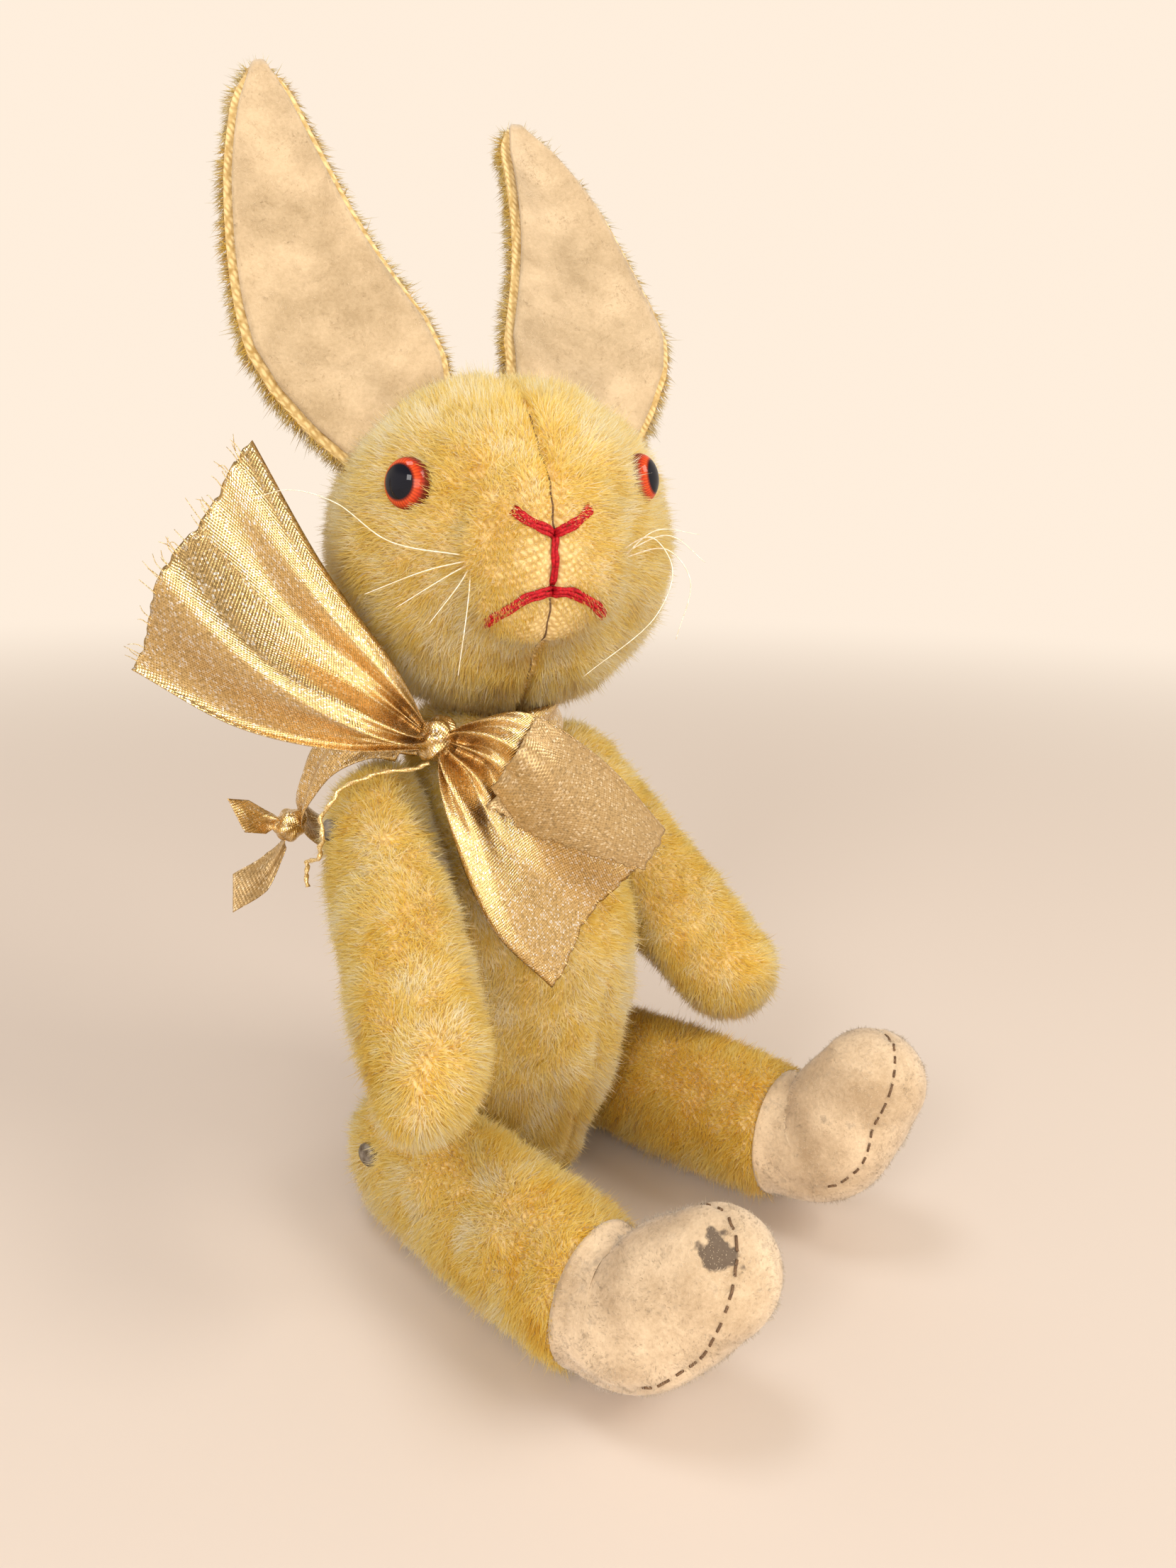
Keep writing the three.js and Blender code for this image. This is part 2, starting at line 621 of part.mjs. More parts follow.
const knotSize = [3.0, 2.6, 3.4];
const knotBall = new THREE.SphereGeometry(1, 12, 8);
knotBall.scale(...knotSize);
knotBall.translate(...KNOT);
const bowKnot = solidOf(knotBall);
addNode(rabbit, 'bow_knot', bowKnot, finish.ribbon);
const knotRoomBall = new THREE.SphereGeometry(1, 12, 8);
knotRoomBall.scale(...knotSize.map((size) => size + CLEARANCE));
knotRoomBall.translate(...KNOT);
const knotRoom = solidOf(knotRoomBall);

// A wing of the bow lies between its two edges, both running from the knot to the cut end; `swell`
// is how far its middle stands out from them.
function wing(lowerEdge, upperEdge, swell) {
  const lower = new THREE.CatmullRomCurve3(lowerEdge.map(vector));
  const upper = new THREE.CatmullRomCurve3(upperEdge.map(vector));
  return (across, along) => {
    const t = THREE.MathUtils.clamp(along, 0, 1);
    const low = lower.getPoint(t);
    const high = upper.getPoint(t);
    const onward = lower.getTangent(t).add(upper.getTangent(t));
    const outward = new THREE.Vector3().crossVectors(onward, high.clone().sub(low)).normalize();
    return low
      .lerp(high, across)
      .addScaledVector(outward, swell * Math.sin(Math.PI * across) * Math.sqrt(t))
      .addScaledVector(onward, 20 * (along - t));
  };
}
const WINGS = {
  right: {
    lower: [[-18.6, -4.4, 70.4], [-27.3, 1.1, 70.8], [-36.0, 11.0, 73.6], [-43.0, 23.9, 80.4]],
    upper: [[-18.0, -4.4, 73.4], [-21.8, -3.4, 81.2], [-27.0, 3.8, 93.6], [-30.2, 13.4, 109.2]],
    swell: -4.0,
  },
  left: {
    lower: [[-18.4, -7.0, 70.0], [-20.4, -11.6, 60.4], [-19.4, -17.6, 49.0], [-13.0, -22.4, 40.0]],
    upper: [[-16.4, -7.4, 73.0], [-13.6, -17.2, 76.4], [-5.4, -23.0, 70.4], [5.4, -27.0, 58.6]],
    swell: -2.0,
  },
};
for (const [sideName, { lower, upper, swell }] of Object.entries(WINGS)) {
  const sheet = cloth(wing(lower, upper, swell), RIBBON, 8, 9);
  addNode(rabbit, `${sideName}_bow_wing`, sheet.subtract(knotRoom), finish.ribbon);
}

// The neck ribbon, from the bow over the back of the right shoulder, down the back, round the left
// of the neck and under the chin to the bow again.
const NECK_ROUTE = [
  [-16.8, -1.6, 70.2],
  [-19.8, 6.0, 70.4],
  [-22.4, 13.4, 65.6],
  [-22.0, 17.8, 58.4],
  [-15.0, 20.4, 52.6],
  [-4.0, 21.4, 55.0],
  [6.4, 19.6, 62.0],
  [12.4, 12.6, 68.4],
  [12.8, 3.6, 71.2],
  [8.6, -4.6, 71.8],
  [0.4, -8.8, 71.4],
  [-7.6, -8.2, 70.6],
  [-13.6, -5.8, 70.2],
];
function band(route, width, lift) {
  const line = new THREE.CatmullRomCurve3(route.map(vector));
  const centre = new THREE.Vector3(0, NECK.y, NECK.z - 8);
  return (across, share) => {
    const t = THREE.MathUtils.clamp(share, 0, 1);
    const point = line.getPoint(t);
    const tangent = line.getTangent(t);
    const outward = point.clone().sub(centre);
    outward.z *= lift;
    const upward = new THREE.Vector3().crossVectors(outward, tangent).normalize();
    const overrun = share - t;
    return point
      .addScaledVector(upward, (0.5 - across) * width)
      .addScaledVector(tangent, overrun * line.getLength());
  };
}
const neckRibbon = cloth(band(NECK_ROUTE, NECK_RIBBON_WIDTH, 0.3), RIBBON, 2, 26);
const torsoClear = softBody(
  shrunk(torso, -CLEARANCE),
  RUMP_DOME + CLEARANCE,
  THROAT_DOME + CLEARANCE,
  20,
);
const BACK_KNOT = [-23.6, 18.4, 56.6];
const backKnotSize = [2.4, 2.2, 2.8];
function backKnot(grow) {
  const ball = new THREE.SphereGeometry(1, 10, 7);
  ball.scale(...backKnotSize.map((size) => size + grow));
  ball.translate(...BACK_KNOT);
  return solidOf(ball);
}
addNode(
  rabbit,
  'neck_ribbon',
  without(neckRibbon, [torsoClear, knotRoom, backKnot(CLEARANCE)]),
  finish.ribbon,
);
addNode(rabbit, 'back_knot', backKnot(0), finish.ribbon);

function tail(route, twist) {
  const line = new THREE.CatmullRomCurve3(route.map(vector));
  const across0 = new THREE.Vector3(...twist).normalize();
  return (across, share) =>
    line
      .getPoint(THREE.MathUtils.clamp(share, 0, 1))
      .addScaledVector(across0, (across - 0.5) * NECK_RIBBON_WIDTH)
      .addScaledVector(line.getTangent(1), share < 0 || share > 1 ? 8 * (share - Math.round(share)) : 0);
}
const TAILS = {
  upper_tail: { route: [[-25.2, 19.2, 57.4], [-28.0, 20.4, 58.2], [-31.0, 20.6, 59.0]], across: [-0.35, 0.2, 1] },
  lower_tail: { route: [[-24.4, 18.8, 54.0], [-27.0, 20.4, 49.6], [-31.8, 21.4, 47.6]], across: [0.3, 0.35, 1] },
};
for (const [name, { route, across }] of Object.entries(TAILS)) {
  const strip = cloth(tail(route, across), RIBBON, 2, 5);
  addNode(rabbit, name, strip.subtract(backKnot(CLEARANCE)), finish.ribbon);
}

// ---------------------------------------------------------------- loose thread of the bow

const THREAD_ROUTE = [
  [-19.4, -6.4, 69.0],
  [-20.6, -5.6, 68.4],
  [-22.4, -3.4, 68.0],
  [-24.4, -1.2, 67.4],
  [-26.4, 0.6, 66.4],
  [-28.2, 1.8, 64.8],
  [-29.4, 2.6, 62.8],
  [-29.9, 2.8, 60.6],
  [-30.0, 2.8, 58.4],
  [-29.9, 3.4, 56.6],
  [-29.8, 5.2, 55.6],
  [-29.7, 6.6, 54.8],
  [-29.7, 6.8, 53.2],
  [-29.9, 6.4, 51.6],
];
addNode(
  rabbit,
  'gold_thread',
  strand(THREAD_ROUTE, THREAD.radius, THREAD.sides, 32).subtract(knotRoom),
  finish.ribbon,
);

export default rabbit;
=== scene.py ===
"""A small jointed mohair rabbit, sitting, with felt ears and feet and a gold ribbon tied in a bow."""

import math

import bmesh
import bpy
import numpy as np
from mathutils import Matrix, Vector
from mathutils.bvhtree import BVHTree


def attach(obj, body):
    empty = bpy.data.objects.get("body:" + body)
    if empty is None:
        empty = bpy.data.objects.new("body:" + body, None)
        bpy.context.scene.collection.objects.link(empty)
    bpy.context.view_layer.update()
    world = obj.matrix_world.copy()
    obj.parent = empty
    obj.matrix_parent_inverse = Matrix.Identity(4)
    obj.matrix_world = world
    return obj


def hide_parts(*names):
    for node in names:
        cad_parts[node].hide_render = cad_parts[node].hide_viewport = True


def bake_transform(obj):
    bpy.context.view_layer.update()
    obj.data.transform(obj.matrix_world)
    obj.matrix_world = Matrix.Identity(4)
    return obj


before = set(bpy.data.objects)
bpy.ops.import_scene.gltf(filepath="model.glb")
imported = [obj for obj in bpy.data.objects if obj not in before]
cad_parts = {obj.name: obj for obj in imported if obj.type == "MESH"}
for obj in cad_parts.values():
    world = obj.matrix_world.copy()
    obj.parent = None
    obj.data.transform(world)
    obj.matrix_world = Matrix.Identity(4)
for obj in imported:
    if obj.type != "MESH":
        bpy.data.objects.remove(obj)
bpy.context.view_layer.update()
MM = 0.001
scene = bpy.context.scene
scene.view_settings.view_transform = "Standard"

# ------------------------------------------------------------------ view
# A close view from the rabbit's right front, a little above its eyes, with a wide lens.

camera = bpy.data.objects.new("camera", bpy.data.cameras.new("camera"))
scene.collection.objects.link(camera)
scene.camera = camera
view_right = Vector((0.6403, -0.7679, 0.0175)).normalized()
view_ahead = Vector((0.7472, 0.6174, -0.2459)).normalized()
view_up = view_right.cross(view_ahead).normalized()
view_right = view_ahead.cross(view_up).normalized()
turned = Matrix((view_right, view_up, -view_ahead)).transposed().to_4x4()
SEEN_FROM = Vector((-120.0, -116.4, 104.0))
camera.matrix_world = Matrix.Translation(SEEN_FROM * MM) @ turned
camera.data.sensor_fit = "VERTICAL"
camera.data.sensor_height = 24.0
camera.data.lens = 17.815
camera.data.clip_start = 0.005
camera.data.clip_end = 20.0

# ------------------------------------------------------------------ loose gold thread
# A limp two-ply thread of metallic yarn, frayed from the ribbon: it leaves the bow's knot, lies over the right
# shoulder and hangs down outside the arm.


def line_points(stops, shares):
    """Points of a smooth line through the stops, at shares of the way along it."""
    stops = np.asarray(stops, float)
    last = len(stops) - 1
    found = []
    for share in shares:
        spot = min(max(share, 0.0), 1.0) * last
        i = min(int(spot), last - 1)
        w = spot - i
        here, there = stops[i], stops[i + 1]
        before = stops[i - 1] if i > 0 else 2 * here - there
        after = stops[i + 2] if i + 2 <= last else 2 * there - here
        pairs = ((before, here), (here, there), (there, after))
        d0, d1, d2 = (max(np.linalg.norm(b - a), 1e-6) ** 0.5 for a, b in pairs)
        leave = ((here - before) / d0 - (there - before) / (d0 + d1) + (there - here) / d1) * d1
        reach = ((there - here) / d1 - (after - here) / (d1 + d2) + (after - there) / d2) * d1
        found.append(
            here + leave * w + (3 * (there - here) - 2 * leave - reach) * w**2
            + (2 * (here - there) + leave + reach) * w**3
        )
    return np.array(found)


def put(name, mesh_bm, body, materials):
    """Makes the object of a finished bmesh, with its place in its mesh."""
    mesh = bpy.data.meshes.new(name)
    mesh_bm.to_mesh(mesh)
    mesh_bm.free()
    for polygon in mesh.polygons:
        polygon.use_smooth = True
    for material in materials:
        mesh.materials.append(material)
    made = bpy.data.objects.new(name, mesh)
    scene.collection.objects.link(made)
    if body:
        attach(made, body)
    return made


def face_out(bm):
    """Turns a closed mesh's faces outwards."""
    bmesh.ops.recalc_face_normals(bm, faces=bm.faces)
    if bm.calc_volume(signed=True) < 0:
        bmesh.ops.reverse_faces(bm, faces=bm.faces)


def run_tube(bm, points, radius_at, sides=8, lobes=0.0, twist=0.0, slot=0):
    """Sweeps a round bar along points (in metres); lobes and twist make plied yarn of it."""
    points = [Vector(p) for p in points]
    last = len(points) - 1
    axes = []
    side = (points[1] - points[0]).orthogonal()
    for i in range(last + 1):
        ahead = (points[min(i + 1, last)] - points[max(i - 1, 0)]).normalized()
        side = (side - ahead * side.dot(ahead)).normalized()
        axes.append((side.copy(), ahead.cross(side)))
    bar = bmesh.new()
    bmesh.ops.create_cone(bar, cap_ends=True, segments=sides, radius1=1.0, radius2=1.0, depth=2.0)
    tall = [edge for edge in bar.edges if abs(edge.verts[0].co.z - edge.verts[1].co.z) > 1.0]
    if last > 1:
        bmesh.ops.subdivide_edges(bar, edges=tall, cuts=last - 1)
    for vert in bar.verts:
        i = round((vert.co.z + 1) / 2 * last)
        angle = math.atan2(vert.co.y, vert.co.x)
        reach = radius_at(i / last) * (1.0 + lobes * math.cos(2 * (angle - twist * i)))
        side, across = axes[i]
        vert.co = points[i] + (side * math.cos(angle) + across * math.sin(angle)) * reach
    for face in bar.faces:
        face.material_index = slot
    face_out(bar)
    join_to(bm, bar)


def join_to(bm, other):
    """Adds a finished bmesh to another."""
    spare = bpy.data.meshes.new("spare")
    other.to_mesh(spare)
    other.free()
    bm.from_mesh(spare)
    bpy.data.meshes.remove(spare)


def new_material(name):
    """A material with its node tree's nodes and links, and its shader."""
    material = bpy.data.materials.new(name)
    material.use_nodes = True
    nodes, links = material.node_tree.nodes, material.node_tree.links
    return material, nodes, links, nodes["Principled BSDF"]


def set_values(node, values):
    for socket, value in values.items():
        node.inputs[socket].default_value = value


def ramp(nodes, links, source, stops):
    """The colour that a value has on a ramp of (place, colour) stops."""
    node = nodes.new("ShaderNodeValToRGB")
    node.color_ramp.interpolation = "LINEAR"
    while len(node.color_ramp.elements) > 1:
        node.color_ramp.elements.remove(node.color_ramp.elements[-1])
    node.color_ramp.elements[0].position = stops[0][0]
    node.color_ramp.elements[0].color = (*stops[0][1], 1.0)
    for place, colour in stops[1:]:
        node.color_ramp.elements.new(place).color = (*colour, 1.0)
    links.new(source, node.inputs["Fac"])
    return node.outputs["Color"]


def mottle_group():
    """Noise on Object coordinates with features scaled per metre, shared by the mottled materials."""
    group = bpy.data.node_groups.new("mottle", "ShaderNodeTree")
    sockets = ("Scale", "Detail", "Roughness")
    for socket in sockets:
        group.interface.new_socket(socket, in_out="INPUT", socket_type="NodeSocketFloat")
    group.interface.new_socket("Mottle", in_out="OUTPUT", socket_type="NodeSocketFloat")
    given, result = group.nodes.new("NodeGroupInput"), group.nodes.new("NodeGroupOutput")
    where, noise = group.nodes.new("ShaderNodeTexCoord"), group.nodes.new("ShaderNodeTexNoise")
    group.links.new(where.outputs["Object"], noise.inputs["Vector"])
    for socket in sockets:
        group.links.new(given.outputs[socket], noise.inputs[socket])
    group.links.new(noise.outputs["Fac"], result.inputs["Mottle"])
    return group


MOTTLE = mottle_group()


def mottle(nodes, scale, detail=3.0, rough=0.5):
    node = nodes.new("ShaderNodeGroup")
    node.node_tree = MOTTLE
    set_values(node, {"Scale": scale, "Detail": detail, "Roughness": rough})
    return node.outputs["Mottle"]


def mottled_material(name, tones, finish, scale, detail=3.0, rough=0.5, bump=None):
    """A material whose colour wanders between tones; finish gives its shader's other values."""
    material, nodes, links, shader = new_material(name)
    wander = mottle(nodes, scale, detail, rough)
    links.new(ramp(nodes, links, wander, tones), shader.inputs["Base Color"])
    set_values(shader, finish)
    if bump:
        raise_surface(nodes, links, shader, wander, *bump)
    return material


def raise_surface(nodes, links, shader, height, strength, distance):
    bump = nodes.new("ShaderNodeBump")
    set_values(bump, {"Strength": strength, "Distance": distance * MM})
    links.new(height, bump.inputs["Height"])
    links.new(bump.outputs["Normal"], shader.inputs["Normal"])


THREAD_ROUTE = np.array([
    (-19.4, -6.4, 69.0),
    (-20.6, -5.6, 68.4),
    (-22.4, -3.4, 68.0),
    (-24.4, -1.2, 67.4),
    (-26.4, 0.6, 66.4),
    (-28.2, 1.8, 64.8),
    (-29.4, 2.6, 62.8),
    (-29.9, 2.8, 60.6),
    (-30.0, 2.8, 58.4),
    (-29.9, 3.4, 56.6),
    (-29.8, 5.2, 55.6),
    (-29.7, 6.6, 54.8),
    (-29.7, 6.8, 53.2),
    (-29.9, 6.4, 51.6),
]) * MM
THREAD_THICK = 0.7 * MM

gold_yarn = mottled_material(
    "gold_yarn",
    [(0.3, (0.36, 0.22, 0.06)), (0.5, (0.80, 0.58, 0.24)), (0.68, (1.0, 0.90, 0.62))],
    {"Metallic": 0.65, "Roughness": 0.34},
    scale=5200.0,
    detail=2.0,
)

thread_steps = np.linspace(0, 1, 118)
thread_line = line_points(THREAD_ROUTE, thread_steps)
crimped = MM * np.sin(np.pi * thread_steps) ** 0.5
thread_line[:, 0] -= 0.30 * crimped * np.sin(thread_steps * 47) ** 2
thread_line[:, 1] += 0.34 * crimped * np.sin(thread_steps * 41)
bm = bmesh.new()
run_tube(bm, thread_line, lambda share: THREAD_THICK * 0.40, sides=10, lobes=0.24, twist=0.42)
thread = put("loose_thread", bm, None, [gold_yarn])
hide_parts("gold_thread")
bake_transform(thread)

# ------------------------------------------------------------------ torso
# A plump bag of mohair plush, woven backing and pile together, packed with stuffing. It leans back a
# little and narrows to the neck; the pile lies downwards and is matted into soft tufts.


def loft(stations, start_dome, end_dome, place, around=64, cap_rows=10, mid_rows=30):
    """A rounded form along a line, from a sphere: each station is its point, half width and half depth."""
    rows = mid_rows + 2 * cap_rows
    bm = bmesh.new()
    bmesh.ops.create_uvsphere(bm, u_segments=around, v_segments=rows, radius=1.0)
    shares = np.clip((np.arange(rows + 1) - cap_rows) / mid_rows, 0, 1)
    centres = line_points([s[0] for s in stations], shares)
    sizes = line_points([(s[1], s[2], 0.0) for s in stations], shares)
    aheads = line_points([s[0] for s in stations], shares + 1e-3)
    aheads = aheads - line_points([s[0] for s in stations], shares - 1e-3)
    for vert in bm.verts:
        row = round(math.acos(max(-1.0, min(1.0, vert.co.z))) / math.pi * rows)
        angle = math.atan2(vert.co.y, vert.co.x)
        opening = min(row / cap_rows, 1.0) * math.pi / 2
        closing = min((rows - row) / cap_rows, 1.0) * math.pi / 2
        spread = math.sin(opening) * math.sin(closing)
        ahead = Vector(aheads[row]).normalized()
        deep = ahead.cross(Vector((1, 0, 0))).normalized()
        push = end_dome * math.cos(closing) - start_dome * math.cos(opening)
        vert.co = (
            Vector(centres[row])
            + Vector((1, 0, 0)) * math.cos(angle) * sizes[row][0] * spread
            + deep * math.sin(angle) * sizes[row][1] * spread
            + ahead * push
        )
    bm.transform(place)
    face_out(bm)
    return bm


def drift(points, size, seed):
    """Smooth noise from -1 to 1 that changes over about that size, in the points' own unit."""
    table = np.random.default_rng(seed).uniform(-1, 1, 4096)
    cell = np.floor(points / size)
    part = points / size - cell
    part = part * part * (3 - 2 * part)
    cell = cell.astype(np.int64)
    total = 0.0
    for dx in (0, 1):
        for dy in (0, 1):
            for dz in (0, 1):
                step = np.array((dx, dy, dz))
                hashed = (cell + step) * (73856093, 19349663, 83492791)
                key = hashed[:, 0] ^ hashed[:, 1] ^ hashed[:, 2]
                share = np.abs(1 - step - part).prod(1)
                total = total + table[key & 4095] * share
    return total


def unit(vectors):
    return vectors / np.maximum(np.linalg.norm(vectors, axis=1, keepdims=True), 1e-12)


def near(points, centre, reach):
    """1 at the centre, falling smoothly to 0 at about twice the reach."""
    away = np.linalg.norm((points - np.asarray(centre)) / np.asarray(reach), axis=1)
    return np.exp(-(away**2))


FIBRE = bmesh.new()
bmesh.ops.create_cone(FIBRE, cap_ends=True, cap_tris=True, segments=3, radius1=1.0, radius2=0.0, depth=1.0)
bmesh.ops.remove_doubles(FIBRE, verts=FIBRE.verts, dist=1e-6)
bmesh.ops.triangulate(FIBRE, faces=FIBRE.faces)
FIBRE.verts.index_update()
FIBRE_POINTS = np.array([vert.co[:] for vert in FIBRE.verts]) + (0, 0, 0.5)
FIBRE_FACES = np.array([[vert.index for vert in face.verts] for face in FIBRE.faces])
FIBRE.free()


PILE_FLOOR = 0.2 * MM
ROOT_SUNK = 0.15 * MM
PLUSH_THICK = 0.068


def grow_pile(piece, per_mm2, look, thick, seed, soften=0.75):
    """Covers a piece's skin with fibres, joined to it as one mesh.

    look(points, normals), in millimetres, gives each fibre's length in millimetres, the way it
    leans (a vector as long as its lean) and its tone from 0 to 1.
    The map OFBake holds the pile in its left half, tone across and root to tip upwards, and the
    skin in its right half."""
    rng = np.random.default_rng(seed)
    mesh = piece.data
    count = len(mesh.vertices)
    points = np.empty(count * 3, np.float32)
    mesh.vertices.foreach_get("co", points)
    points = points.reshape(-1, 3).astype(float)
    normals = np.empty(count * 3, np.float32)
    mesh.vertices.foreach_get("normal", normals)
    normals = normals.reshape(-1, 3).astype(float)
    mesh.calc_loop_triangles()
    triangles = np.empty(len(mesh.loop_triangles) * 3, np.int32)
    mesh.loop_triangles.foreach_get("vertices", triangles)
    triangles = triangles.reshape(-1, 3)
    a, b, c = (points[triangles[:, k]] for k in range(3))
    areas = np.linalg.norm(np.cross(b - a, c - a), axis=1) / 2
    fibres = int(areas.sum() / MM**2 * per_mm2 * (1.0))
    chosen = rng.choice(len(areas), fibres, p=areas / areas.sum())
    u, v = rng.random(fibres), rng.random(fibres)
    fold = u + v > 1
    u[fold], v[fold] = 1 - u[fold], 1 - v[fold]
    weights = np.stack([1 - u - v, u, v], 1)[:, :, None]
    roots = (points[triangles[chosen]] * weights).sum(1)
    outward = unit((normals[triangles[chosen]] * weights).sum(1))
    length, lean, tone = look(roots / MM, outward)
    kept = length > 0.12
    roots, outward, length, lean, tone = (x[kept] for x in (roots, outward, length, lean, tone))
    fibres = len(roots)
    length = length * rng.uniform(0.7, 1.15, fibres) * np.where(rng.random(fibres) < 0.07, 1.5, 1.0) * MM
    way = outward + lean + rng.normal(0, 0.30, (fibres, 3))
    rise = (way * outward).sum(1, keepdims=True)
    way = unit(way + outward * np.maximum(0.3 - rise, 0))
    side = unit(np.cross(way, rng.normal(0, 1, (fibres, 3))))
    other = np.cross(way, side)
    radius = thick * MM * rng.uniform(0.7, 1.3, fibres)
    shape = FIBRE_POINTS
    along = way[:, None] * (shape[None, :, 2:3] * length[:, None, None])
    made = (
        roots[:, None]
        - outward[:, None] * ROOT_SUNK
        + side[:, None] * (shape[None, :, 0:1] * radius[:, None, None])
        + other[:, None] * (shape[None, :, 1:2] * radius[:, None, None])
        + along
    )
    made[:, :, 2] = np.maximum(made[:, :, 2], PILE_FLOOR)
    round_it = (made - roots[:, None] - along) / radius[:, None, None]
    shade = outward[:, None] * soften + (way * 0.25)[:, None] + round_it * (1 - soften)
    shade = unit(shade.reshape(-1, 3))
    first = len(FIBRE_POINTS) * np.arange(fibres)[:, None, None] + count
    faces = (FIBRE_FACES[None] + first).reshape(-1, 3)
    tone = np.clip(tone + rng.normal(0.02, 0.15, fibres), 0.01, 0.99)
    low = shape[:, 2] < 0.5
    uv_u = 0.02 + 0.46 * tone[:, None] + np.where(low, shape[:, 0], 0.0)[None] * 0.004
    uv_v = np.where(low, 0.03 + shape[:, 1] * 0.012, 0.97)[None] + np.zeros((fibres, 1))
    fibre_uv = np.stack([uv_u, uv_v], 2)[:, FIBRE_FACES].reshape(-1, 2)

    loops = len(mesh.loops)
    corner = np.empty(loops, np.int32)
    mesh.loops.foreach_get("vertex_index", corner)
    starts = np.empty(len(mesh.polygons), np.int32)
    mesh.polygons.foreach_get("loop_start", starts)
    skin_uv = np.empty(loops * 2, np.float32)
    mesh.uv_layers["OFBake"].data.foreach_get("uv", skin_uv)
    skin_uv = skin_uv.reshape(-1, 2)

    whole = bpy.data.meshes.new(piece.name)
    every = np.concatenate([points, made.reshape(-1, 3)])
    whole.vertices.add(len(every))
    whole.vertices.foreach_set("co", every.astype(np.float32).ravel())
    whole.loops.add(loops + faces.size)
    whole.loops.foreach_set("vertex_index", np.concatenate([corner, faces.ravel()]).astype(np.int32))
    whole.polygons.add(len(starts) + len(faces))
    whole.polygons.foreach_set(
        "loop_start", np.concatenate([starts, loops + 3 * np.arange(len(faces))]).astype(np.int32)
    )
    whole.polygons.foreach_set(
        "material_index", np.concatenate([np.ones(len(starts)), np.zeros(len(faces))]).astype(np.int32)
    )
    whole.polygons.foreach_set("use_smooth", np.ones(len(starts) + len(faces), bool))
    whole.uv_layers.new(name="OFBake").data.foreach_set(
        "uv", np.concatenate([skin_uv, fibre_uv]).astype(np.float32).ravel()
    )
    whole.update(calc_edges=True)
    for material in mesh.materials:
        whole.materials.append(material)
    whole.normals_split_custom_set_from_vertices(np.concatenate([normals, shade]).astype(np.float32))
    piece.data = whole
    bpy.data.meshes.remove(mesh)
    return piece


def lay_out_skin(bm, u_of, v_of):
    """Puts the skin in the right half of the map OFBake, by functions of a face's corner."""
    layer = bm.loops.layers.uv.new("OFBake")
    for face in bm.faces:
        middle = u_of(face.calc_center_median())
        for loop in face.loops:
            u = u_of(loop.vert.co)
            if u - middle > 0.5:
                u -= 1.0
            if middle - u > 0.5:
                u += 1.0
            loop[layer].uv = (0.53 + 0.44 * min(max(u, 0.0), 1.0), 0.02 + 0.96 * v_of(loop.vert.co))


def wrap_skin(bm, place, axis_low, axis_high):
    """Unrolls a lofted skin round its long way, in its own frame, between two heights of that way."""
    back = place.inverted()
    low, high = Vector(axis_low), Vector(axis_high)
    way = high - low

    def turn(co):
        p = back @ co
        flat = p - low - way * ((p - low).dot(way) / way.length_squared)
        side = Vector((1, 0, 0))
        up = way.cross(side).normalized()
        return (math.atan2(flat.dot(up), flat.dot(side)) / (2 * math.pi)) % 1.0

    def height(co):
        p = back @ co
        return min(max((p - low).dot(way) / way.length_squared, 0.0), 1.0)

    lay_out_skin(bm, turn, height)


def map_axes(nodes, links, uv_map="OFBake"):
    """The two axes of one of the piece's own maps."""
    where, parts = nodes.new("ShaderNodeUVMap"), nodes.new("ShaderNodeSeparateXYZ")
    where.uv_map = uv_map
    links.new(where.outputs["UV"], parts.inputs["Vector"])
    return where.outputs["UV"], parts.outputs["X"], parts.outputs["Y"]


def plug(links, value, socket):
    """Sets a socket to a number or colour, or links it to another node's output."""
    if isinstance(value, bpy.types.NodeSocket):
        links.new(value, socket)
    else:
        socket.default_value = value


def map_range(nodes, links, source, low, high, to_low=0.0, to_high=1.0, kind="LINEAR"):
    node = nodes.new("ShaderNodeMapRange")
    node.interpolation_type = kind
    set_values(node, {"From Min": low, "From Max": high, "To Min": to_low, "To Max": to_high})
    links.new(source, node.inputs["Value"])
    return node.outputs["Result"]


def mix_colours(nodes, links, share, one, other, kind="MIX"):
    node = nodes.new("ShaderNodeMix")
    node.data_type = "RGBA"
    node.blend_type = kind
    for socket, value in (("Factor", share), ("A", one), ("B", other)):
        plug(links, value, node.inputs[socket])
    return node.outputs["Result"]


def maths(nodes, links, operation, *values):
    node = nodes.new("ShaderNodeMath")
    node.operation = operation
    for k, value in enumerate(values):
        plug(links, value, node.inputs[k])
    return node.outputs[0]


def pile_material(name, tones, root, sheen=0.25):
    """Mohair or nap: tone across the map's left half, darker at the root than at the tip, as painted shade
    deep in the pile.
    """
    material, nodes, links, shader = new_material(name)
    _, tone, rise = map_axes(nodes, links)
    colours = ramp(nodes, links, map_range(nodes, links, tone, 0.02, 0.48), tones)
    # Painted shade: each fibre is darkened from its tip towards its root, where the pile shades itself.
    shadow = [(0.05, root), (0.45, tuple(0.5 + 0.5 * c for c in root)), (0.9, (1.0, 1.0, 1.0))]
    depth = ramp(nodes, links, rise, shadow)
    links.new(mix_colours(nodes, links, 1.0, colours, depth, "MULTIPLY"), shader.inputs["Base Color"])
    set_values(
        shader, {"Roughness": 0.72, "Specular IOR Level": 0.25, "Sheen Weight": sheen, "Sheen Roughness": 0.45}
    )
    return material


